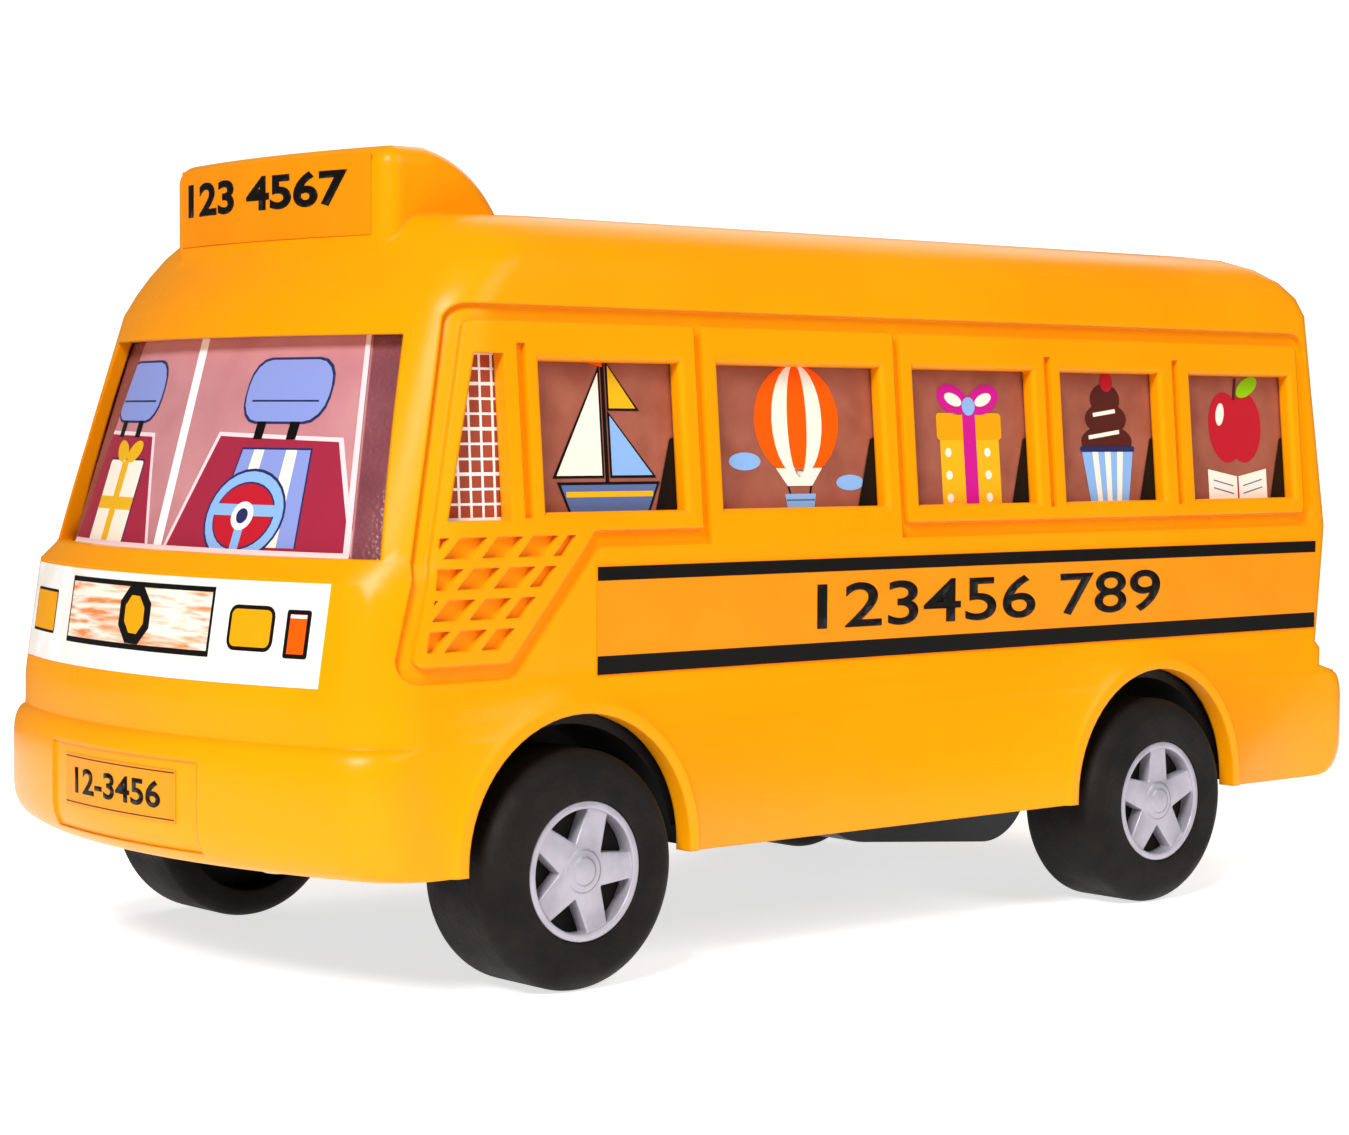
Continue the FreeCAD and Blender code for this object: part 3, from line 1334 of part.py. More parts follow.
def make_motor_case():
    """The two halves of the motor case, with lugs, ears and bearing holes."""
    rear, middle, front = gear_axes()
    half_width = size("case_half_width")
    wall = size("case_wall")
    inner = half_width - wall
    for hand, name in ((1, "left"), (-1, "right")):
        outer = case_outline(wall, 0).extrude(ALONG_X * hand * half_width)
        cavity = case_outline(0, 0).extrude(ALONG_X * hand * inner)
        ears = []
        holes = [cavity]
        for y, z in case_screw_places():
            reach = sorted((0, hand * half_width))
            ears.append(cross_cylinder(ear_radius(), reach[0], reach[1], y, z))
            if hand == 1:
                hole_radius = size("screw_radius") + size("screw_gap")
                holes.append(cross_cylinder(hole_radius, reach[0], reach[1], y, z))
            else:
                depth = size("case_screw_length") - half_width
                holes.append(cross_cylinder(size("screw_radius"), -depth, 0, y, z))
        x, y = lug_screw_places()[0 if hand == 1 else 1]
        lug_x = sorted((hand * (half_width - wall), hand * (half_width + size("lug_width"))))
        lug = block(lug_x, (y - size("lug_length") / 2, y + size("lug_length") / 2),
                    (chassis_top(), chassis_top() + size("lug_height")))
        lug_hole = Part.makeCylinder(size("screw_radius") + size("screw_gap"), size("lug_height") * 3,
                                     Vector(x, y, chassis_top() - size("lug_height")))
        gap = size("running_gap")
        seats = [cross_cylinder(size("axle_radius") + gap, -half_width - wall, half_width + wall,
                                rear.y, rear.z),
                 cross_cylinder(size("gear_pin_radius"), -inner - size("gear_pin_seat"),
                                inner + size("gear_pin_seat"), middle.y, middle.z),
                 cross_cylinder(size("journal_radius") + gap, -inner - size("journal_seat") - gap,
                                inner + size("journal_seat") + gap, front.y, front.z)]
        half = outer.fuse(ears + [lug]).cut(holes + seats + [lug_hole])
        feature("motor_case_" + name, half.removeSplitter())


make_body_shell()
make_window_insert()
make_labels()
make_chassis()
make_screws()
make_axle("front_axle", FRONT_AXLE)
make_axle("rear_axle", REAR_AXLE)
for end, axle in (("front", FRONT_AXLE), ("rear", REAR_AXLE)):
    for hand, name in ((1, "left"), (-1, "right")):
        make_tyre("tyre_%s_%s" % (end, name), axle, hand)
        make_hub("hub_%s_%s" % (end, name), axle, hand)
make_gears()
make_mainspring()
make_motor_case()
doc.recompute()

NODES = ["body_shell", "window_insert", "windscreen_label", "side_window_labels_left",
         "side_window_labels_right", "rear_window_label", "front_band_label", "side_band_label_left",
         "side_band_label_right", "front_number_plate", "rear_number_plate", "tail_lamp_labels",
         "sign_label", "chassis", "chassis_screws", "front_axle", "rear_axle",
         "tyre_front_left", "tyre_front_right", "tyre_rear_left", "tyre_rear_right",
         "hub_front_left", "hub_front_right", "hub_rear_left", "hub_rear_right",
         "motor_case_left", "motor_case_right", "case_screws", "motor_screws", "drive_pinion",
         "reduction_gear", "gear_pin", "winding_gear", "mainspring"]


def check_document():
    """Stops if any object failed or any sub-part's shape is empty or not valid."""
    for item in doc.Objects:
        if "Invalid" in item.State or "Error" in item.State:
            raise RuntimeError("%s failed: %s" % (item.Label, item.State))
    for node in NODES:
        found = doc.getObjectsByLabel(node)
        if len(found) != 1:
            raise RuntimeError("%s is named %d times" % (node, len(found)))
        shape = found[0].Shape
        if shape.isNull() or not shape.isValid() or not shape.Solids:
            raise RuntimeError("%s has no valid shape" % node)


def write_parts():
    """Writes each sub-part's shape to its own file."""
    os.makedirs("parts", exist_ok=True)
    for node in NODES:
        shape = doc.getObjectsByLabel(node)[0].Shape
        shape.exportStep("parts/%s.step" % node)
        print("%-26s %3d solids %9.1f mm3" % (node, len(shape.Solids), shape.Volume))


check_document()
write_parts()
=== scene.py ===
"""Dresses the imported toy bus: its moulded body, wheels, printed labels and the studio about it."""

import logging
import math
from collections.abc import Callable
from dataclasses import dataclass, field
from enum import Enum

import bpy
from mathutils import Matrix, Vector


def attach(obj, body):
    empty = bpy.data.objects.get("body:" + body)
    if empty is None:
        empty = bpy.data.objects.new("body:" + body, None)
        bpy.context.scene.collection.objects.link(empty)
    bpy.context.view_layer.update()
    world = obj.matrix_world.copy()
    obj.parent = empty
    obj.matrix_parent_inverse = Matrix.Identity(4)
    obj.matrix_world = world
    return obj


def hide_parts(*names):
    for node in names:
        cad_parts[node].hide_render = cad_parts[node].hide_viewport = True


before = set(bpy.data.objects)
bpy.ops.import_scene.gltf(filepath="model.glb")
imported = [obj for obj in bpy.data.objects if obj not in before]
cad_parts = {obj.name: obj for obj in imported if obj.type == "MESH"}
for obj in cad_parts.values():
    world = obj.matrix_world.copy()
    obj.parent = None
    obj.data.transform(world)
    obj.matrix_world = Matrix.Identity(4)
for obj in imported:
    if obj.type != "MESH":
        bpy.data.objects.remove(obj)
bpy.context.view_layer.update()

MM = 0.001
# The middle of a noise's range, over which a finish drifts.
DRIFT_FROM, DRIFT_TO = 0.3, 0.7
# Steps in each round corner of a printed panel.
CORNER_STEPS = 4
# Cuts through a print stand this far off round figures, where its corners lie.
CUT_ASIDE_MM = 0.0137
LOG = logging.getLogger("toy_bus")
Point = tuple[float, float]


def linear(hex_colour: str) -> tuple[float, float, float, float]:
    """Turns an sRGB hex colour into a linear one with full alpha.

    Args:
        hex_colour: Six hex digits after a hash sign.

    Returns:
        Red, green, blue and alpha from 0 to 1.
    """
    shares = [int(hex_colour[i:i + 2], 16) / 255 for i in (1, 3, 5)]
    straight = [s / 12.92 if s <= 0.04045 else ((s + 0.055) / 1.055) ** 2.4 for s in shares]
    return (*straight, 1.0)


def add_node(tree: bpy.types.NodeTree, kind: str, settings: dict | None = None,
             links: dict | None = None) -> bpy.types.Node:
    """Adds a shader node with its settings and links.

    Args:
        tree: The material's node tree.
        kind: The node's type name.
        settings: Attributes of the node, or values of its inputs by name.
        links: Output sockets to join to its inputs, by the input's name.

    Returns:
        The new node.
    """
    node = tree.nodes.new(kind)
    for key, value in (settings or {}).items():
        if hasattr(node, key):
            setattr(node, key, value)
        else:
            node.inputs[key].default_value = value
    for key, socket in (links or {}).items():
        tree.links.new(socket, node.inputs[key])
    return node


def add_ramp(tree: bpy.types.NodeTree, factor: bpy.types.NodeSocket,
             low: tuple[float, str], high: tuple[float, str]) -> bpy.types.Node:
    """Adds a ramp between two colours.

    Args:
        tree: The material's node tree.
        factor: The output socket that the ramp reads.
        low: The place and the hex colour of its first stop.
        high: The place and the hex colour of its second stop.

    Returns:
        The ramp node.
    """
    ramp = add_node(tree, "ShaderNodeValToRGB", links={"Fac": factor})
    for stop, (place, colour) in zip(list(ramp.color_ramp.elements), (low, high)):
        stop.position, stop.color = place, linear(colour)
    return ramp


def material_once(name: str, draw: Callable[[bpy.types.NodeTree], None]) -> bpy.types.Material:
    """Returns a material, and builds it at its first use.

    Args:
        name: The material's name.
        draw: Fills its empty node tree.

    Returns:
        The material.
    """
    made = bpy.data.materials.get(name)
    if made is None:
        made = bpy.data.materials.new(name)
        made.use_nodes = True
        made.node_tree.nodes.clear()
        draw(made.node_tree)
    return made


def choose(*pieces: bpy.types.Object) -> None:
    """Selects only these pieces and makes the first one active."""
    bpy.ops.object.select_all(action="DESELECT")
    for piece in pieces:
        piece.select_set(True)
    bpy.context.view_layer.objects.active = pieces[0]


def apply_modifier(piece: bpy.types.Object, kind: str, **settings) -> None:
    """Adds a modifier to a piece, sets it and applies it.

    Args:
        piece: The mesh object.
        kind: The modifier's type.
        settings: The modifier's attributes.
    """
    choose(piece)
    modifier = piece.modifiers.new(kind.title(), kind)
    for key, value in settings.items():
        setattr(modifier, key, value)
    bpy.ops.object.modifier_apply(modifier=modifier.name)


# Finishes

class Grain(Enum):
    """How the fine relief of a surface was made."""

    POLISHED = "polished mould"
    SPARKED = "spark-eroded mould"
    PAPER = "paper fibre"


@dataclass(frozen=True)
class Finish:
    """A surface whose colour drifts slowly and whose relief is fine.

    Specular is the shader's Specular IOR Level, and glow the strength of its white emission.
    """

    name: str
    colour: str
    drift_colour: str
    roughness: float
    roughness_spread: float = 0.06
    drift_mm: float = 18.0
    glow: float = 0.0
    specular: float = 0.5
    stretch: tuple[float, float, float] = (1.0, 1.0, 1.0)
    ior: float = 1.5
    metallic: float = 0.0
    grain: Grain = Grain.POLISHED
    grain_mm: float = 0.8
    grain_depth_mm: float = 0.01
    edge_mm: float = 0.0

    def material(self) -> bpy.types.Material:
        """Returns the finish's material."""
        return material_once(self.name, self.draw)

    def draw(self, tree: bpy.types.NodeTree) -> None:
        """Fills the finish's node tree.

        Args:
            tree: The empty node tree.
        """
        place = add_node(tree, "ShaderNodeTexCoord")
        mapping = add_node(tree, "ShaderNodeMapping", {"Scale": self.stretch},
                           {"Vector": place.outputs["Object"]})
        drift = add_node(tree, "ShaderNodeTexNoise",
                         {"Scale": 1 / (self.drift_mm * MM), "Detail": 3.0, "Roughness": 0.5},
                         {"Vector": mapping.outputs["Vector"]})
        colour = add_ramp(tree, drift.outputs["Fac"], (DRIFT_FROM, self.drift_colour),
                          (DRIFT_TO, self.colour))
        gloss = add_node(tree, "ShaderNodeMapRange",
                         {"From Min": DRIFT_FROM, "From Max": DRIFT_TO,
                          "To Min": self.roughness - self.roughness_spread / 2,
                          "To Max": self.roughness + self.roughness_spread / 2},
                         {"Value": drift.outputs["Fac"]})
        shader = add_node(tree, "ShaderNodeBsdfPrincipled",
                          {"IOR": self.ior, "Metallic": self.metallic,
                           "Specular IOR Level": self.specular,
                           "Emission Color": (1.0, 1.0, 1.0, 1.0), "Emission Strength": self.glow},
                          {"Base Color": colour.outputs["Color"],
                           "Roughness": gloss.outputs["Result"],
                           "Normal": self.relief(tree, mapping).outputs["Normal"]})
        add_node(tree, "ShaderNodeOutputMaterial", links={"Surface": shader.outputs["BSDF"]})

    def relief(self, tree: bpy.types.NodeTree, mapping: bpy.types.Node) -> bpy.types.Node:
        """Adds the fine relief.

        Args:
            tree: The material's node tree.
            mapping: The node that gives the place on the piece.

        Returns:
            The bump node.
        """
        size = 1 / (self.grain_mm * MM)
        if self.grain is Grain.SPARKED:
            source = add_node(tree, "ShaderNodeTexVoronoi", {"Scale": size, "Randomness": 1.0},
                              {"Vector": mapping.outputs["Vector"]}).outputs["Distance"]
        else:
            detail = 6.0 if self.grain is Grain.PAPER else 2.0
            source = add_node(tree, "ShaderNodeTexNoise", {"Scale": size, "Detail": detail},
                              {"Vector": mapping.outputs["Vector"]}).outputs["Fac"]
        bump = add_node(tree, "ShaderNodeBump",
                        {"Strength": 1.0, "Distance": self.grain_depth_mm * MM},
                        {"Height": source})
        if self.edge_mm:
            edge = add_node(tree, "ShaderNodeBevel", {"samples": 6, "Radius": self.edge_mm * MM})
            tree.links.new(edge.outputs["Normal"], bump.inputs["Normal"])
        return bump


@dataclass(frozen=True)
class StreakedPrint:
    """Printed ink drawn as long wavering streaks on a cream ground."""

    name: str
    ground: str
    streak: str
    streak_mm: float
    roughness: float
    ior: float = 1.48
    across_scale: float = 0.045
    waver: float = 0.12
    ground_until: float = 0.44
    streak_from: float = 0.68
    fibre_mm: float = 0.25
    fibre_depth_mm: float = 0.004

    def material(self) -> bpy.types.Material:
        """Returns the streaked ink's material."""
        return material_once(self.name, self.draw)

    def draw(self, tree: bpy.types.NodeTree) -> None:
        """Fills the streaked ink's node tree.

        Args:
            tree: The empty node tree.
        """
        place = add_node(tree, "ShaderNodeTexCoord")
        wide = add_node(tree, "ShaderNodeMapping", {"Scale": (self.across_scale, 1.0, 1.0)},
                        {"Vector": place.outputs["Object"]})
        noise = add_node(tree, "ShaderNodeTexNoise",
                         {"Scale": 1 / (self.streak_mm * MM), "Detail": 3.0,
                          "Distortion": self.waver}, {"Vector": wide.outputs["Vector"]})
        colour = add_ramp(tree, noise.outputs["Fac"], (self.ground_until, self.ground),
                          (self.streak_from, self.streak))
        fibre = add_node(tree, "ShaderNodeTexNoise",
                         {"Scale": 1 / (self.fibre_mm * MM), "Detail": 4.0},
                         {"Vector": place.outputs["Object"]})
        bump = add_node(tree, "ShaderNodeBump",
                        {"Strength": 1.0, "Distance": self.fibre_depth_mm * MM},
                        {"Height": fibre.outputs["Fac"]})
        shader = add_node(tree, "ShaderNodeBsdfPrincipled",
                          {"Roughness": self.roughness, "IOR": self.ior},
                          {"Base Color": colour.outputs["Color"], "Normal": bump.outputs["Normal"]})
        add_node(tree, "ShaderNodeOutputMaterial", links={"Surface": shader.outputs["BSDF"]})


# ABS, injection moulded in a polished tool: glossy yellow-orange with a faint uneven flow.
BODY_ABS = Finish("abs_yellow_polished_mould", "#FFA200", "#FF9B00", 0.3, 0.08, drift_mm=30.0,
                  ior=1.53, specular=0.16, grain_mm=2.6, grain_depth_mm=0.012, edge_mm=0.45)
# High-impact polystyrene, moulded in a spark-eroded tool: mauve, with a fine leathery grain.
INSERT_HIPS = Finish("hips_mauve_sparked_mould", "#8E4C54", "#7A3F46", 0.34, 0.1, drift_mm=6.0,
                     ior=1.55, grain=Grain.SPARKED, grain_mm=0.5, grain_depth_mm=0.08)
# Polypropylene, moulded plain: satin black with soft sink marks.
CHASSIS_PP = Finish("polypropylene_black_moulded", "#0E0D0C", "#131211", 0.5, 0.1, drift_mm=14.0,
                    ior=1.49, specular=0.25, grain_mm=1.2, grain_depth_mm=0.02)
# ABS of the motor case: dark grey and satin.
MOTOR_ABS = Finish("abs_charcoal_moulded", "#2A2B2E", "#232427", 0.5, 0.08, drift_mm=10.0,
                   ior=1.53, grain_mm=0.9, grain_depth_mm=0.012)
# Acetal gears: waxy off-white.
GEAR_ACETAL = Finish("acetal_white_moulded", "#E9E6DC", "#DFDBCF", 0.34, 0.06, drift_mm=5.0,
                     ior=1.48, grain_mm=0.7, grain_depth_mm=0.006)
# Plasticised PVC of the tyres: matt near-black with a dry, fine skin.
TYRE_PVC = Finish("pvc_black_matt_moulded", "#110F0D", "#191613", 0.66, 0.16, drift_mm=5.0,
                  ior=1.52, specular=0.16, grain=Grain.SPARKED, grain_mm=0.55,
                  grain_depth_mm=0.03, edge_mm=0.3)
# ABS with silver pigment: greyish, half shiny, with a flow of fine flakes.
HUB_SILVER = Finish("abs_silver_pigmented", "#B8B5BF", "#A7A4AE", 0.38, 0.12, drift_mm=2.4,
                    ior=1.53, metallic=0.35, grain_mm=0.5, grain_depth_mm=0.01, edge_mm=0.15)
# Bright drawn steel wire of the axles and the gear pin: fine lines along its length.
AXLE_STEEL = Finish("steel_bright_drawn", "#B9BABC", "#A3A5A8", 0.26, 0.1, drift_mm=1.6,
                    stretch=(0.08, 1.0, 1.0), metallic=1.0, grain_mm=0.3, grain_depth_mm=0.004)
# Spring steel strip: blue-grey and hard rolled.
SPRING_STEEL = Finish("spring_steel_rolled", "#7E858E", "#6B727B", 0.32, 0.1, drift_mm=3.0,
                      metallic=1.0, grain_mm=0.4, grain_depth_mm=0.004)
# Zinc-plated screws: pale and a little cloudy.
SCREW_ZINC = Finish("steel_zinc_plated", "#C9CBCB", "#B4B6B4", 0.34, 0.14, drift_mm=1.8,
                    metallic=1.0, grain_mm=0.35, grain_depth_mm=0.005)


def label_paper(name: str, colour: str, drift: str, drift_mm: float = 9.0) -> Finish:
    """Makes coated label paper with a printed ground: half gloss, with a trace of fibre.

    Args:
        name: The finish's name.
        colour: The ground's colour.
        drift: The colour that the ground drifts to.
        drift_mm: The size of that drift.

    Returns:
        The finish.
    """
    return Finish(name, colour, drift, 0.42, 0.08, drift_mm=drift_mm, ior=1.48, specular=0.25,
                  grain=Grain.PAPER, grain_mm=0.35, grain_depth_mm=0.006)


BAND_PAPER = label_paper("label_paper_orange_ground", "#FF9300", "#FF8E00")
SIGN_PAPER = label_paper("label_paper_sign_ground", "#FF9400", "#FF8E00")
PLATE_PAPER = label_paper("label_paper_plate_ground", "#F79A10", "#F0930C")
WINDOW_PAPER = label_paper("label_paper_brown_ground", "#A8604C", "#96503E", 4.0)
SCREEN_PAPER = label_paper("label_paper_rose_ground", "#CF8E90", "#C27F84", 7.0)
FRONT_PAPER = label_paper("label_paper_white_ground", "#FFFEFC", "#F3E8DC", 5.0)
LAMP_PAPER = label_paper("label_paper_lamp_ground", "#F7F5F1", "#EFEBE4")


class Ink(Enum):
    """Printing inks of the labels, as sRGB colours."""

    BLACK = "#12100E"
    WHITE = "#FCFBF8"
    CREAM = "#FFF0DD"
    PALE_ROSE = "#F3D9DA"
    SKY = "#8DB6EA"
    LAVENDER = "#8C9AD9"
    DENIM = "#5B6F9F"
    NAVY = "#2B2F5E"
    AMBER = "#F2A20E"
    GOLD = "#EFB51C"
    ORANGE = "#FF5B05"
    STREAKED_TAN = "#FFF1E0"
    MAGENTA = "#CF1C8E"
    MAROON = "#A32A42"
    CRIMSON = "#C01F2E"
    CHOCOLATE = "#55241D"
    LIME = "#93CF12"
    BRICK = "#A64C38"

    def finish(self) -> "Finish | StreakedPrint":
        """Returns offset ink on coated paper: an even, slightly glossy film of this colour."""
        if self is Ink.STREAKED_TAN:
            return StreakedPrint("printing_ink_streaked_tan", self.value, "#E98B46", 0.62, 0.4)
        return Finish(f"printing_ink_{self.name.lower()}", self.value, self.value, 0.36, 0.08,
                      drift_mm=3.0, ior=1.49, specular=0.12, grain=Grain.PAPER, grain_mm=0.35,
                      grain_depth_mm=0.004)


# Moulded pieces

@dataclass
class SoftMoulding:
    """A moulded piece whose faces run smoothly into each other, made over its solid."""

    node: str
    name: str
    body: str
    slot: str
    finish: Finish
    edge_mm: float = 0.0
    segments: int = 3
    sharp_degrees: float = 30.0
    flat_degrees: float = 0.4
    smooth_degrees: float = 38.0
    weld_mm: float = 0.004

    def build(self) -> None:
        """Copies the solid's mesh, welds it, softens its edges and dresses it."""
        piece = bpy.data.objects.new(self.name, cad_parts[self.node].data.copy())
        bpy.context.scene.collection.objects.link(piece)
        choose(piece)
        bpy.ops.object.mode_set(mode="EDIT")
        bpy.ops.mesh.select_all(action="SELECT")
        bpy.ops.mesh.remove_doubles(threshold=self.weld_mm * MM)
        bpy.ops.mesh.customdata_custom_splitnormals_clear()
        bpy.ops.mesh.dissolve_limited(angle_limit=math.radians(self.flat_degrees))
        bpy.ops.object.mode_set(mode="OBJECT")
        if self.edge_mm:
            apply_modifier(piece, "BEVEL", width=self.edge_mm * MM, segments=self.segments,
                           limit_method="ANGLE", angle_limit=math.radians(self.sharp_degrees),
                           use_clamp_overlap=False, miter_outer="MITER_ARC", loop_slide=False)
        bpy.ops.object.shade_smooth_by_angle(angle=math.radians(self.smooth_degrees))
        piece.data.materials.clear()
        piece.data.materials.append(self.finish.material())
        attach(piece, self.body)
        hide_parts(self.node)
        LOG.info("%s: %d faces", self.name, len(piece.data.polygons))


# Printing

class Side(Enum):
    """Which way a label faces."""

    LEFT = "left"
    RIGHT = "right"
    FRONT = "front"
    REAR = "rear"


@dataclass
class PrintedLabel:
    """A label's ink: flat shapes by colour and layer, laid on the label's own face.

    A shape is drawn across and up in millimetres: across is the Y of a side label, the X of a
    front or rear one, and up is the height above the ground. The lowest film stands off the
    face by the seat, and each layer adds the lift. The stand-off, where a sheet starts from, is
    in metres. A sheet on a curved label is cut in slices, and a window trims its shapes.
    """

    node: str
    side: Side
    slot: str
    body: str = "bus_body"
    slice_mm: float = 0.0
    seat_mm: float = 0.03
    lift_mm: float = 0.012
    film_mm: float = 0.02
    stand_off: float = 0.12
    part: str = ""
    window: list[Point] = field(default_factory=list)
    sheets: dict[tuple, bpy.types.ID] = field(default_factory=dict)

    def sheet(self, ink: Ink, layer: int) -> bpy.types.Curve:
        """Returns the flat curve that holds the shapes of one ink and layer."""
        key = (ink, layer)
        if key not in self.sheets:
            curve = bpy.data.curves.new(f"{self.node}_{ink.name.lower()}_{layer}", "CURVE")
            curve.dimensions = "2D"
            curve.fill_mode = "BOTH"
            self.sheets[key] = curve
        return self.sheets[key]

    def shape(self, ink: Ink, points: list[Point], layer: int = 1) -> None:
        """Adds a closed outline.

        Args:
            ink: The ink that fills it.
            points: Its corners, across and up.
            layer: How many films lie under it.
        """
        if self.window:
            points = self.kept(points)
        if len(points) < 3:
            return
        spline = self.sheet(ink, layer).splines.new("POLY")
        spline.points.add(len(points) - 1)
        for target, (across, up) in zip(spline.points, points):
            target.co = (across * MM, up * MM, 0.0, 1.0)
        spline.use_cyclic_u = True

    def kept(self, points: list[Point]) -> list[Point]:
        """Trims an outline to the window that is open now.

        Args:
            points: The outline's corners.

        Returns:
            The corners of what lies in the window.
        """
        for index, end in enumerate(self.window):
            start = self.window[index - 1]
            run = (end[0] - start[0], end[1] - start[1])
            inside = [run[0] * (p[1] - start[1]) - run[1] * (p[0] - start[0]) for p in points]
            trimmed = []
            for step, (point, depth) in enumerate(zip(points, inside)):
                before, before_depth = points[step - 1], inside[step - 1]
                if (depth >= 0) != (before_depth >= 0):
                    share = before_depth / (before_depth - depth)
                    trimmed.append((before[0] + (point[0] - before[0]) * share,
                                    before[1] + (point[1] - before[1]) * share))
                if depth >= 0:
                    trimmed.append(point)
            points = trimmed
        return points

    def oval(self, ink: Ink, centre: Point, radii: Point, layer: int = 1, turn: float = 0.0,
             steps: int = 28) -> None:
        """Adds an oval.

        Args:
            ink: The ink that fills it.
            centre: Its middle, across and up.
            radii: Its half width and half height.
            layer: How many films lie under it.
            turn: How far it is turned, in degrees.
            steps: Corners in its outline.
        """
        lean = math.radians(turn)
        points = []
        for step in range(steps):
            angle = 2 * math.pi * (step / steps)
            flat = (radii[0] * math.cos(angle), radii[1] * math.sin(angle))
            points.append((centre[0] + flat[0] * math.cos(lean) - flat[1] * math.sin(lean),
                           centre[1] + flat[0] * math.sin(lean) + flat[1] * math.cos(lean)))
        self.shape(ink, points, layer)

    def panel(self, ink: Ink, low: Point, high: Point, layer: int = 1, corner: float = 0.0) -> None:
        """Adds an upright rectangle, with round corners where a radius is given.

        Args:
            ink: The ink that fills it.
            low: Its low corner, across and up.
            high: Its high corner.
            layer: How many films lie under it.
            corner: The radius of its corners.
        """
        if not corner:
            self.shape(ink, [low, (high[0], low[1]), high, (low[0], high[1])], layer)
            return
        points = []
        for index, (x, y) in enumerate([(high[0], high[1]), (low[0], high[1]), (low[0], low[1]),
                                        (high[0], low[1])]):
            inward = (-1 if x == high[0] else 1, -1 if y == high[1] else 1)
            for step in range(CORNER_STEPS + 1):
                angle = math.pi / 2 * (index + step / CORNER_STEPS)
                points.append((x + inward[0] * corner + corner * math.cos(angle),
                               y + inward[1] * corner + corner * math.sin(angle)))
        self.shape(ink, points, layer)

    def framed(self, frame_ink: Ink, ink: Ink, low: Point, high: Point, rim: float, corner: float,
               layer: int = 1) -> None:
        """Adds a rectangle with a rim of another ink under it.

        Args:
            frame_ink: The rim's ink.
            ink: The ink inside.
            low: The rim's low corner.
            high: The rim's high corner.
            rim: The rim's width.
            corner: The radius of the rim's corners.
            layer: How many films lie under the rim.
        """
        self.panel(frame_ink, low, high, layer, corner)
        self.panel(ink, (low[0] + rim, low[1] + rim), (high[0] - rim, high[1] - rim), layer + 1,
                   max(corner - rim, 0.0))

    def line(self, ink: Ink, start: Point, end: Point, width: float, layer: int = 1) -> None:
        """Adds a straight line of some width.

        Args:
            ink: The line's ink.
            start: Its first end.
            end: Its second end.
            width: Its width.
            layer: How many films lie under it.
        """
        run = Vector(end) - Vector(start)
        aside = Vector((-run.y, run.x)).normalized() * width / 2
        corners = [(place[0] + hand * aside.x, place[1] + hand * aside.y)
                   for place, hand in ((start, 1), (start, -1), (end, -1), (end, 1))]
        self.shape(ink, corners, layer)

    def digits(self, ink: Ink, words: str, centre: Point, height: float, width: float,
               weight: float = 0.0, layer: int = 1) -> None:
        """Adds a row of plain digits, fitted to a height and a width.

        Args:
            ink: The digits' ink.
            words: The digits.
            centre: The row's middle, across and up.
            height: The digits' height.
            width: The row's width.
            weight: How far each stroke is widened.
            layer: How many films lie under it.
        """
        text = bpy.data.curves.new(f"{self.node}_digits_{layer}", "FONT")
        text.body = words
        text.offset = weight * MM
        text.size = height * MM
        piece = bpy.data.objects.new(text.name, text)
        bpy.context.scene.collection.objects.link(piece)
        choose(piece)
        bpy.ops.object.convert(target="MESH")
        corners = [vertex.co for vertex in piece.data.vertices]
        low = Vector((min(c.x for c in corners), min(c.y for c in corners), 0))
        high = Vector((max(c.x for c in corners), max(c.y for c in corners), 0))
        hand = -1 if self.side in (Side.RIGHT, Side.REAR) else 1
        fit = Matrix.Diagonal((hand * width * MM / (high.x - low.x),
                               height * MM / (high.y - low.y), 1, 1))
        middle = Vector((centre[0] * MM, centre[1] * MM, 0))
        piece.data.transform(Matrix.Translation(middle) @ fit
                             @ Matrix.Translation(-(low + high) / 2))
        if hand < 0:
            piece.data.flip_normals()
        self.sheets[(ink, layer, words)] = piece

    def facing(self) -> Matrix:
        """Returns the turn of across, up and out into the label's directions, and the stand-off."""
        axes = {Side.LEFT: ((0, 0, 1), (1, 0, 0), (0, 1, 0)),
                Side.RIGHT: ((0, 0, -1), (1, 0, 0), (0, 1, 0)),
                Side.FRONT: ((1, 0, 0), (0, 0, -1), (0, 1, 0)),
                Side.REAR: ((1, 0, 0), (0, 0, 1), (0, 1, 0))}[self.side]
        return Matrix(axes).to_4x4() @ Matrix.Translation((0, 0, self.stand_off))

    def laid(self, piece: bpy.types.Object, layer: int) -> None:
        """Lays one flat mesh on the label's face and gives it the film's thickness.

        Args:
            piece: The flat mesh.
            layer: How many films lie under it.
        """
        along_y = self.side in (Side.FRONT, Side.REAR)
        piece.data.transform(self.facing())
        if self.side in (Side.RIGHT, Side.REAR):
            piece.data.flip_normals()
        if self.slice_mm:
            self.sliced(piece, (1, 0, 0) if along_y else (0, 1, 0))
            self.sliced(piece, (0, 0, 1))
        apply_modifier(piece, "SHRINKWRAP", target=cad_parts[self.node],
                       wrap_method="PROJECT", use_project_x=not along_y, use_project_y=along_y,
                       use_project_z=False, use_negative_direction=True,
                       use_positive_direction=True,
                       offset=(self.seat_mm + self.lift_mm * layer) * MM)
        apply_modifier(piece, "SOLIDIFY", thickness=self.film_mm * MM, offset=-1.0)

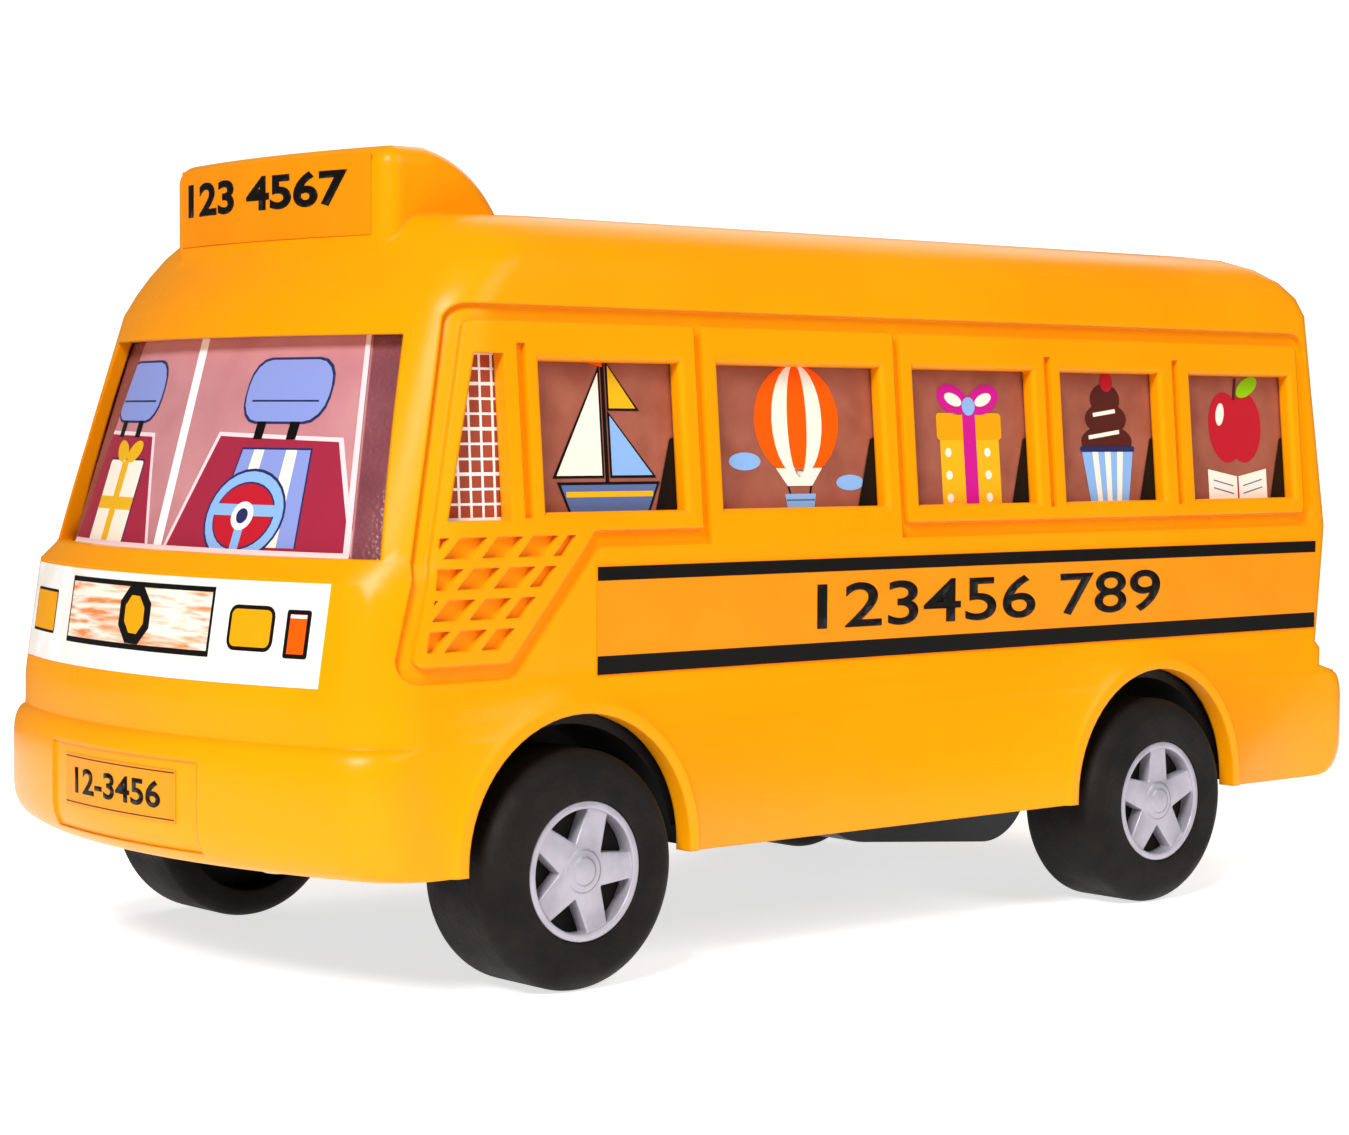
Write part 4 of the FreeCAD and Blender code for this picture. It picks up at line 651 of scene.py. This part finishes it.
    def sliced(self, piece: bpy.types.Object, across: tuple[int, int, int]) -> None:
        """Cuts a flat mesh at even steps, so that it can bend with the label.

        Args:
            piece: The flat mesh.
            across: The direction that the cuts step along.
        """
        way = Vector(across)
        reach = [vertex.co.dot(way) for vertex in piece.data.vertices]
        step = self.slice_mm * MM
        choose(piece)
        bpy.ops.object.mode_set(mode="EDIT")
        for cut in range(math.ceil(min(reach) / step), math.floor(max(reach) / step) + 1):
            bpy.ops.mesh.select_all(action="SELECT")
            bpy.ops.mesh.bisect(plane_co=way * (cut * step + CUT_ASIDE_MM * MM),
                                plane_no=across)
        bpy.ops.object.mode_set(mode="OBJECT")

    def build(self) -> None:
        """Makes the sheets of each ink one thin piece on the label."""
        by_ink: dict[Ink, list[bpy.types.Object]] = {}
        for (ink, layer, *_), sheet in self.sheets.items():
            if isinstance(sheet, bpy.types.Object):
                piece = sheet
            else:
                piece = bpy.data.objects.new(sheet.name, sheet)
                bpy.context.scene.collection.objects.link(piece)
                choose(piece)
                bpy.ops.object.convert(target="MESH")
                if piece.data.polygons and piece.data.polygons[0].normal.z < 0:
                    piece.data.flip_normals()
            self.laid(piece, layer)
            by_ink.setdefault(ink, []).append(piece)
        for ink, pieces in by_ink.items():
            choose(*pieces)
            if len(pieces) > 1:
                bpy.ops.object.join()
            piece = pieces[0]
            piece.name = f"{self.node}{self.part}_ink_{ink.name.lower()}"
            piece.data.materials.clear()
            piece.data.materials.append(ink.finish().material())
            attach(piece, self.body)
            LOG.info("%s: %d faces", piece.name, len(piece.data.polygons))


@dataclass
class SideWindows:
    """The prints behind the windows of one side: a wire blind and five still lifes."""

    side: Side
    sill: float = 49.7
    head: float = 68.1
    places: tuple[Point, ...] = ((-54.1, -34.6), (-29.0, -3.7), (1.8, 22.5), (27.7, 46.3),
                                 (52.4, 72.8))
    margin: float = 1.1
    trim: float = 0.1
    drawing_aside: float = 0.6
    wedge_width: float = 3.3
    wedge_height: float = 8.8
    blind_opening: tuple[Point, ...] = ((-67.9, 49.1), (-57.8, 49.1), (-57.8, 68.4),
                                        (-63.6, 68.4))
    blind_reach: tuple[Point, Point] = ((-71, 48), (-57, 69))
    wires_from: Point = (-69.0, 50.2)
    wires: tuple[int, int] = (8, 12)
    wire_pitch: float = 1.56
    wire_lean: float = 0.5
    wire_widths: tuple[float, float, float] = (0.26, 0.36, 0.3)

    def build(self) -> None:
        """Draws every window and lays the inks."""
        label = PrintedLabel(f"side_window_labels_{self.side.value}", self.side, "window_print",
                             slice_mm=1.6)
        blind = PrintedLabel(label.node, self.side, "window_print", slice_mm=0.5, seat_mm=0.05,
                             lift_mm=0.03, part="_blind")
        blind.window = list(self.blind_opening)
        self.blind(blind)
        blind.build()
        drawings = (self.boat, self.air_balloon, self.gift, self.ice_cream, self.apple)
        low, high = self.sill + self.trim, self.head - self.trim
        for (front, rear), drawing in zip(self.places, drawings):
            label.window = [(front - self.margin, low), (rear + self.margin, low),
                            (rear + self.margin, high), (front - self.margin, high)]
            self.wedge(label, rear)
            drawing(label, (front + rear) / 2 + self.drawing_aside)
        label.build()

    def wedge(self, label: PrintedLabel, rear: float) -> None:
        """A black wedge in a window's low rear corner."""
        top = self.sill + self.wedge_height
        label.shape(Ink.BLACK, [(rear - self.wedge_width, self.sill),
                                (rear + self.margin, self.sill),
                                (rear + self.margin, top + 0.6), (rear - 0.5, top)], 8)

    def blind(self, label: PrintedLabel) -> None:
        """White wire mesh in the slanted window behind the windscreen pillar."""
        label.panel(Ink.BRICK, *self.blind_reach, 0)
        (front, foot), (rear, head) = self.blind_reach
        columns, rows = self.wires
        thin, thick, upright = self.wire_widths
        for row in range(rows):
            up = self.wires_from[1] + row * self.wire_pitch
            label.line(Ink.WHITE, (front, up), (rear, up), thin if row % 3 else thick, 1)
        for column in range(columns):
            across = self.wires_from[0] + column * self.wire_pitch
            label.line(Ink.WHITE, (across, foot), (across + self.wire_lean, head), upright, 2)

    def boat(self, label: PrintedLabel, middle: float) -> None:
        """A toy sailing boat with cream, blue and gold sails."""
        mast = middle - 0.4
        label.line(Ink.BLACK, (mast, 53.0), (mast, 67.4), 0.5, 1)
        for grow, inks in ((0.28, (Ink.BLACK,) * 3), (0.0, (Ink.CREAM, Ink.SKY, Ink.GOLD))):
            layer = 2 if grow else 3
            foot, luff = 54.6 - grow, mast + 0.7 - grow
            label.shape(inks[0], [(mast - 0.7 + grow, foot), (mast - 0.7 + grow, 65.6 + grow * 3),
                                  (mast - 7.0 - grow * 2, foot)], layer)
            label.shape(inks[1], [(luff, foot), (mast + 6.4 + grow * 2, foot),
                                  (luff, 61.0 + grow * 2)], layer)
            label.shape(inks[2], [(luff, 61.8 - grow), (mast + 4.4 + grow * 2, 61.8 - grow),
                                  (luff, 66.4 + grow * 2)], layer)
        label.shape(Ink.ORANGE, [(mast, 67.6), (mast - 3.4, 66.9), (mast, 66.2)], 4)
        label.shape(Ink.BLACK, [(middle - 7.4, 53.9), (middle + 7.0, 53.9), (middle + 5.0, 49.9),
                                (middle - 5.6, 49.9)], 4)
        label.shape(Ink.DENIM, [(middle - 6.9, 53.6), (middle + 6.5, 53.6), (middle + 4.8, 50.1),
                                (middle - 5.4, 50.1)], 5)
        label.line(Ink.GOLD, (middle - 6.2, 52.6), (middle + 5.9, 52.6), 0.6, 6)

    def air_balloon(self, label: PrintedLabel, middle: float) -> None:
        """A hot-air balloon in orange and cream with a pale blue basket."""
        centre = (middle, 60.6)
        for layer, half in enumerate((6.6, 3.9, 1.5), 1):
            label.oval(Ink.CREAM if layer == 2 else Ink.ORANGE, centre, (half, 6.4), layer)
        label.shape(Ink.CREAM, [(middle - 3.6, 55.2), (middle + 3.6, 55.2), (middle + 1.9, 53.2),
                                (middle - 1.9, 53.2)], 3)
        for hand in (-1, 1):
            label.line(Ink.BLACK, (middle + hand * 1.8, 53.2), (middle + hand * 1.5, 52.2), 0.25, 1)
        label.shape(Ink.SKY, [(middle - 2.4, 52.3), (middle + 2.4, 52.3), (middle + 1.9, self.sill),
                              (middle - 1.9, self.sill)], 4)
        for row in range(2):
            up = 51.6 - row * 0.9
            label.line(Ink.DENIM, (middle - 2.2, up), (middle + 2.2, up), 0.2, 5)
        label.oval(Ink.SKY, (middle + 8.0, 53.5), (2.2, 0.9), 1)
        label.oval(Ink.SKY, (middle - 8.3, 56.0), (2.4, 1.0), 1)

    def gift(self, label: PrintedLabel, middle: float) -> None:
        """A golden parcel with a magenta bow."""
        label.panel(Ink.GOLD, (middle - 5.2, self.sill), (middle + 5.0, 60.4), 1, 0.5)
        label.panel(Ink.AMBER, (middle - 5.7, 58.4), (middle + 5.5, 61.6), 2, 0.5)
        label.panel(Ink.MAGENTA, (middle - 1.2, self.sill), (middle + 1.0, 61.6), 3)
        for across, layer, turn in ((-2.7, 2, -18), (2.5, 4, 18)):
            label.oval(Ink.MAGENTA, (middle + across, 63.2), (2.8, 1.7), layer, turn)
            label.oval(Ink.CREAM, (middle + across, 63.2), (1.5, 0.7), 5, turn)
        label.oval(Ink.SKY, (middle - 0.1, 62.4), (1.1, 1.1), 6)
        for column in (-3.9, 2.9):
            for row in (51.5, 54.2, 56.9):
                label.oval(Ink.CREAM, (middle + column, row), (0.55, 0.55), 2, steps=12)

    def ice_cream(self, label: PrintedLabel, middle: float) -> None:
        """A chocolate sundae in a blue striped cup."""
        for level, (up, half) in enumerate(((58.2, 4.8), (61.0, 3.9), (63.4, 2.8))):
            label.oval(Ink.CHOCOLATE, (middle, up), (half, 2.0), 1 + level)
        label.oval(Ink.CRIMSON, (middle + 0.4, 65.6), (1.2, 1.2), 4)
        label.line(Ink.CREAM, (middle - 3.4, 58.7), (middle + 2.4, 59.4), 0.5, 4)
        label.line(Ink.CREAM, (middle - 2.4, 61.5), (middle + 1.8, 62.0), 0.5, 5)
        label.shape(Ink.SKY, [(middle - 4.9, 57.4), (middle + 4.9, 57.4), (middle + 3.4, self.sill),
                              (middle - 3.4, self.sill)], 5)
        for stripe in (-2, 0, 2):
            top, foot = middle + stripe * 1.2, middle + stripe * 0.85
            label.shape(Ink.CREAM, [(top - 0.55, 57.4), (top + 0.55, 57.4),
                                    (foot + 0.4, self.sill), (foot - 0.4, self.sill)], 6)
        label.panel(Ink.NAVY, (middle - 5.1, 56.9), (middle + 5.1, 57.6), 7, 0.3)

    def apple(self, label: PrintedLabel, middle: float) -> None:
        """A red apple with a lime leaf on an open book."""
        label.oval(Ink.CRIMSON, (middle - 1.9, 60.0), (3.5, 4.6), 1, 6)
        label.oval(Ink.CRIMSON, (middle + 1.9, 60.0), (3.5, 4.6), 2, -6)
        label.oval(Ink.CREAM, (middle - 3.0, 61.7), (0.8, 1.5), 3, -14)
        label.line(Ink.CHOCOLATE, (middle, 63.6), (middle + 0.5, 66.4), 0.5, 3)
        label.oval(Ink.LIME, (middle + 2.8, 65.3), (2.4, 1.1), 4, 24)
        for across, layer in ((-6.0, 4), (6.0, 5)):
            label.shape(Ink.CREAM, [(middle + across, 54.6), (middle, 53.6), (middle, self.sill),
                                    (middle + across, self.sill + 0.9)], layer)
        label.line(Ink.MAROON, (middle, self.sill), (middle, 53.6), 0.3, 6)
        for row in (51.4, 52.4):
            label.line(Ink.DENIM, (middle - 5.0, row + 0.8), (middle - 1.0, row), 0.16, 6)
            label.line(Ink.DENIM, (middle + 1.0, row), (middle + 5.0, row + 0.8), 0.16, 6)


@dataclass
class SideBand:
    """Two black stripes and a row of plain digits along one side."""

    side: Side
    front: float = -47.7
    rear: float = 76.55
    stripes: tuple[Point, Point] = ((33.48, 35.45), (43.5, 44.97))
    digits_span: Point = (-15.4, 44.6)
    digits_rise: Point = (36.95, 42.15)

    def build(self) -> None:
        """Draws the band and lays the inks."""
        label = PrintedLabel(f"side_band_label_{self.side.value}", self.side, "band_print",
                             slice_mm=1.6)
        for foot, head in self.stripes:
            label.panel(Ink.BLACK, (self.front + 0.02, foot), (self.rear, head), 1)
        front, rear = self.digits_span
        foot, head = self.digits_rise
        label.digits(Ink.BLACK, "123456 789", ((front + rear) / 2, (foot + head) / 2), head - foot,
                     rear - front, 0.05, 2)
        label.build()


@dataclass
class Windscreen:
    """The print behind the windscreen: two seats, a centre post and a steering wheel."""

    sill: float = 45.1
    head: float = 70.4

    def build(self) -> None:
        """Draws the cab and lays the inks."""
        label = PrintedLabel("windscreen_label", Side.FRONT, "windscreen_print", slice_mm=1.6)
        label.window = [(-27.8, self.sill), (27.8, self.sill), (22.35, self.head),
                        (-22.35, self.head)]
        label.shape(Ink.WHITE, [(-3.7, self.sill), (-2.0, self.sill), (-4.5, self.head),
                                (-6.2, self.head)], 1)
        self.seat(label, [(-1.3, 46.2), (27.6, 46.2), (22.1, 58.1), (3.5, 58.6)], 12.6)
        self.seat(label, [(-31.0, 46.2), (-5.6, 46.2), (-11.6, 58.4), (-26.0, 58.6)], -18.6)
        self.towel(label, 13.4)
        self.steering_wheel(label, (11.2, 50.2))
        self.parcel(label, -17.0)
        label.shape(Ink.PALE_ROSE, [(27.0, self.sill), (27.9, self.sill), (22.4, self.head),
                                    (21.7, self.head)], 11)
        # A pale rose band along the print's foot: a painted highlight on the lower lip of the
        # windscreen.
        label.panel(Ink.PALE_ROSE, (-29.0, self.sill), (29.0, 46.7), 12)
        label.build()

    def seat(self, label: PrintedLabel, back: list[Point], middle: float) -> None:
        """A high-backed seat with a pale piping and a headrest.

        Args:
            label: The label that it is printed on.
            back: The corners of its back: low left, low right, high right and high left.
            middle: The headrest's middle, across.
        """
        piping = [(back[0][0] - 0.6, back[0][1]), (back[1][0] + 0.6, back[1][1]),
                  (back[2][0] + 0.45, back[2][1] + 0.45), (back[3][0] - 0.45, back[3][1] + 0.45)]
        label.shape(Ink.PALE_ROSE, piping, 1)
        label.shape(Ink.MAROON, back, 2)
        for ink, grow, layer in ((Ink.NAVY, 0.25, 3), (Ink.LAVENDER, 0.0, 4)):
            label.panel(ink, (middle - 6.4 - grow, 60.2 - grow), (middle + 6.4 + grow, 66.8 + grow),
                        layer, 2.8)
        for post in (-2.6, 2.6):
            label.panel(Ink.BLACK, (middle + post - 0.7, 58.3), (middle + post + 0.7, 60.2), 4)
        label.line(Ink.NAVY, (middle - 5.2, 62.4), (middle + 5.2, 62.4), 0.2, 5)

    def towel(self, label: PrintedLabel, middle: float) -> None:
        """A lavender towel with two cream stripes, hung over the driver's seat."""
        for ink, grow, layer in ((Ink.NAVY, 0.22, 3), (Ink.LAVENDER, 0.0, 4)):
            label.shape(ink, [(middle - 6.6 - grow, 47.0), (middle + 6.6 + grow, 47.0),
                              (middle + 5.2 + grow, 57.2 + grow),
                              (middle - 5.2 - grow, 57.2 + grow)], layer)
        for hand in (1, -1):
            label.shape(Ink.CREAM, [(middle + hand * 1.9, 47.0), (middle + hand * 4.1, 47.0),
                                    (middle + hand * 3.3, 57.2), (middle + hand * 1.7, 57.2)], 5)

    def steering_wheel(self, label: PrintedLabel, centre: Point) -> None:
        """A three-spoked steering wheel low before the driver's seat."""
        across, up = centre
        rings = ((Ink.NAVY, (6.3, 5.0)), (Ink.SKY, (6.0, 4.7)), (Ink.NAVY, (4.8, 3.6)),
                 (Ink.CRIMSON, (4.6, 3.4)))
        for layer, (ink, radii) in enumerate(rings, 6):
            label.oval(ink, centre, radii, layer)
        label.line(Ink.SKY, (across - 5.0, up + 0.6), (across + 5.0, up + 0.6), 1.2, 10)
        label.line(Ink.SKY, (across, up), (across, up - 4.0), 1.3, 11)
        label.oval(Ink.WHITE, centre, (1.7, 1.5), 12)
        label.oval(Ink.NAVY, centre, (0.9, 0.8), 13)

    def parcel(self, label: PrintedLabel, middle: float) -> None:
        """A white parcel with a gold ribbon on the other seat."""
        label.panel(Ink.NAVY, (middle - 5.3, 46.4), (middle + 5.3, 55.9), 5, 0.5)
        label.panel(Ink.CREAM, (middle - 5.1, 46.4), (middle + 5.1, 55.7), 6, 0.4)
        label.panel(Ink.GOLD, (middle - 0.9, 46.4), (middle + 0.9, 55.7), 7)
        label.panel(Ink.GOLD, (middle - 5.1, 50.2), (middle + 5.1, 51.6), 8)
        label.oval(Ink.GOLD, (middle - 1.9, 56.7), (2.0, 1.1), 7, -20)
        label.oval(Ink.GOLD, (middle + 1.9, 56.7), (2.0, 1.1), 8, 20)


@dataclass
class FrontBand:
    """The white band across the face: grille with a plain badge, headlamps and an indicator."""

    def build(self) -> None:
        """Draws the face's fittings and lays the inks."""
        label = PrintedLabel("front_band_label", Side.FRONT, "front_print", slice_mm=1.6)
        label.panel(Ink.BLACK, (-14.7, 35.7), (14.4, 42.95), 1)
        label.panel(Ink.STREAKED_TAN, (-14.35, 36.3), (14.05, 42.4), 2)
        self.badge(label, (0.9, 39.45))
        label.framed(Ink.BLACK, Ink.AMBER, (16.9, 36.6), (23.2, 41.3), 0.42, 1.1)
        label.framed(Ink.BLACK, Ink.ORANGE, (24.7, 36.1), (27.7, 41.05), 0.46, 0.3)
        # A thin white bar across the indicator's top: a painted highlight.
        label.panel(Ink.WHITE, (25.2, 40.2), (27.2, 40.55), 3)
        label.panel(Ink.BLACK, (-27.6, 36.2), (-19.3, 41.1), 1, 0.3)
        label.panel(Ink.AMBER, (-27.4, 36.5), (-19.5, 40.8), 2)
        label.build()

    def badge(self, label: PrintedLabel, centre: Point) -> None:
        """A plain eight-sided badge in black and amber."""
        label.oval(Ink.BLACK, centre, (3.3, 3.4), 3, 22.5, steps=8)
        label.oval(Ink.AMBER, centre, (2.0, 2.2), 4, 22.5, steps=8)


@dataclass
class SmallLabels:
    """Digits on the roof sign and the number plates, and the tail lamps."""

    def build(self) -> None:
        """Draws the small labels and lays the inks."""
        sign = PrintedLabel("sign_label", Side.FRONT, "sign_print", slice_mm=1.6)
        sign.digits(Ink.BLACK, "123 4567", (-0.8, 85.3), 3.9, 32.0, 0.12, 1)
        sign.build()
        for node, side in (("front_number_plate", Side.FRONT), ("rear_number_plate", Side.REAR)):
            plate = PrintedLabel(node, side, "plate_print", slice_mm=1.6)
            plate.panel(Ink.CHOCOLATE, (-11.1, 18.35), (11.1, 18.47), 1)
            plate.panel(Ink.CHOCOLATE, (-11.1, 23.35), (11.1, 23.47), 1)
            plate.digits(Ink.BLACK, "12-3456", (0.0, 20.9), 2.9, 17.6, 0.06, 1)
            plate.build()
        lamps = PrintedLabel("tail_lamp_labels", Side.REAR, "lamp_print")
        for hand in (-1, 1):
            inner, outer = sorted((hand * 23.9, hand * 30.1))
            lamps.framed(Ink.BLACK, Ink.CRIMSON, (inner, 39.6), (outer, 43.6), 0.4, 0.6)
            lamps.framed(Ink.BLACK, Ink.AMBER, (inner, 35.0), (outer, 38.9), 0.4, 0.6)
        lamps.build()
        window = PrintedLabel("rear_window_label", Side.REAR, "window_print")
        for middle in (-13.0, 0.0, 13.0):
            window.panel(Ink.PALE_ROSE, (middle - 5.6, 49.8), (middle + 5.6, 60.6), 1, 1.6)
            window.panel(Ink.MAROON, (middle - 5.2, 49.8), (middle + 5.2, 60.2), 2, 1.4)
            window.panel(Ink.LAVENDER, (middle - 3.6, 58.6), (middle + 3.6, 63.4), 3, 1.4)
        window.build()


# The whole bus

@dataclass
class Bus:
    """All the finishes and added pieces of the bus."""

    cad_finishes: dict[str, Finish] = field(default_factory=lambda: {
        "window_insert": INSERT_HIPS, "chassis": CHASSIS_PP, "chassis_screws": SCREW_ZINC,
        "front_axle": AXLE_STEEL, "rear_axle": AXLE_STEEL, "gear_pin": AXLE_STEEL,
        "motor_case_left": MOTOR_ABS, "motor_case_right": MOTOR_ABS, "case_screws": SCREW_ZINC,
        "motor_screws": SCREW_ZINC, "drive_pinion": GEAR_ACETAL, "reduction_gear": GEAR_ACETAL,
        "winding_gear": GEAR_ACETAL, "mainspring": SPRING_STEEL, "windscreen_label": SCREEN_PAPER,
        "side_window_labels_left": WINDOW_PAPER, "side_window_labels_right": WINDOW_PAPER,
        "rear_window_label": WINDOW_PAPER, "front_band_label": FRONT_PAPER,
        "side_band_label_left": BAND_PAPER, "side_band_label_right": BAND_PAPER,
        "front_number_plate": PLATE_PAPER, "rear_number_plate": PLATE_PAPER,
        "tail_lamp_labels": LAMP_PAPER, "sign_label": SIGN_PAPER})

    def dress_nodes(self) -> None:
        """Gives each solid that stays in view its finish."""
        for node, finish in self.cad_finishes.items():
            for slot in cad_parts[node].material_slots:
                slot.material = finish.material()
            LOG.info("%s: %s", node, finish.name)

    def build(self) -> None:
        """Builds every added piece."""
        self.dress_nodes()
        SoftMoulding("body_shell", "body_moulding", "bus_body", "body_plastic", BODY_ABS).build()
        for end in ("front", "rear"):
            for hand in ("left", "right"):
                spot = f"{end}_{hand}"
                SoftMoulding(f"tyre_{spot}", f"tyre_moulding_{spot}", f"{end}_wheels",
                             "tyre_rubber", TYRE_PVC, 0.25, sharp_degrees=40.0).build()
                SoftMoulding(f"hub_{spot}", f"hub_moulding_{spot}", f"{end}_wheels", "hub_plastic",
                             HUB_SILVER, 0.16).build()
        for side in (Side.LEFT, Side.RIGHT):
            SideWindows(side).build()
            SideBand(side).build()
        Windscreen().build()
        FrontBand().build()
        SmallLabels().build()


# The studio

@dataclass
class Studio:
    """Camera, floor and lights, in metres, apart from the eye and the sensor in millimetres.

    The wall is how bright the sky is to the camera, and dim how bright it is otherwise.
    """

    eye: tuple[float, float, float] = (280.16, -250.21, 60.52)
    azimuth: float = 48.83
    elevation: float = 2.81
    roll: float = 0.31
    focal_px: float = 2993.8
    image_width_px: float = 1349.0
    sensor: float = 36.0
    dim: float = 0.12
    wall: float = 1.2
    floor_glow: float = 0.7
    floor_size: float = 0.5
    aim_height: float = 0.04

    def camera(self) -> None:
        """Sets the camera at the photograph's place and angle."""
        around, down, roll = (math.radians(a) for a in (self.azimuth, self.elevation, self.roll))
        back = Vector((math.sin(around) * math.cos(down), -math.cos(around) * math.cos(down),
                       math.sin(down)))
        right = (-back).cross(Vector((0, 0, 1))).normalized()
        up = right.cross(-back)
        rolled_right = right * math.cos(roll) + up * math.sin(roll)
        rolled_up = up * math.cos(roll) - right * math.sin(roll)
        lens = bpy.data.cameras.new("photo_camera")
        lens.sensor_fit = "HORIZONTAL"
        lens.sensor_width = self.sensor
        lens.lens = self.focal_px / self.image_width_px * self.sensor
        lens.clip_start = 0.01
        lens.clip_end = 20.0
        camera = bpy.data.objects.new("photo_camera", lens)
        turn = Matrix((rolled_right, rolled_up, back)).transposed().to_4x4()
        camera.matrix_world = Matrix.Translation(Vector(self.eye) * MM) @ turn
        bpy.context.scene.collection.objects.link(camera)
        bpy.context.scene.camera = camera

    def floor(self) -> None:
        """Lays a plain pale floor under the bus."""
        bpy.ops.object.select_all(action="DESELECT")
        bpy.ops.mesh.primitive_plane_add(size=self.floor_size, location=(0, 0, 0))
        floor = bpy.context.object
        floor.name = "studio_floor"
        paper = Finish("studio_paper_backlit", "#F4F4F4", "#F1F1F1", 0.9, 0.02, drift_mm=400.0,
                       glow=self.floor_glow, grain=Grain.PAPER, grain_mm=4.0, grain_depth_mm=0.01)
        floor.data.materials.append(paper.material())

    def light(self, name: str, place: tuple[float, float, float], size: float,
              watts: float) -> None:
        """Adds a square soft box that looks at the bus.

        Args:
            name: The light's name.
            place: Its middle, in metres.
            size: Its side, in metres.
            watts: Its power.
        """
        lamp = bpy.data.lights.new(name, "AREA")
        lamp.size = size
        lamp.energy = watts
        box = bpy.data.objects.new(name, lamp)
        away = Vector(place) - Vector((0, 0, self.aim_height))
        turn = away.to_track_quat("Z", "Y").to_matrix().to_4x4()
        box.matrix_world = Matrix.Translation(place) @ turn
        bpy.context.scene.collection.objects.link(box)

    def build(self) -> None:
        """Sets up the camera, the floor, the lights and the sky."""
        self.camera()
        self.floor()
        self.light("key_soft_box", (0.5, -0.9, 0.85), 0.4, 15.5)
        self.light("side_soft_box", (1.0, 0.2, 0.75), 0.6, 4.4)
        self.light("back_soft_box", (-0.6, 0.9, 0.9), 0.8, 3.4)
        self.sky()
        bpy.context.scene.view_settings.view_transform = "Standard"

    def sky(self) -> None:
        """Sets a dim studio with a white wall that only the camera sees."""
        world = bpy.data.worlds.new("studio_sky")
        world.use_nodes = True
        tree = world.node_tree
        path = add_node(tree, "ShaderNodeLightPath")
        wall = add_node(tree, "ShaderNodeMapRange", {"To Min": self.dim, "To Max": self.wall},
                        {"Value": path.outputs["Is Camera Ray"]})
        background = tree.nodes["Background"]
        background.inputs["Color"].default_value = (1.0, 1.0, 1.0, 1.0)
        tree.links.new(wall.outputs["Result"], background.inputs["Strength"])
        bpy.context.scene.world = world


def main() -> None:
    """Builds the bus and the studio."""
    logging.basicConfig(level=logging.INFO, format="%(name)s %(message)s")
    Bus().build()
    Studio().build()


if __name__ == "__main__":
    main()
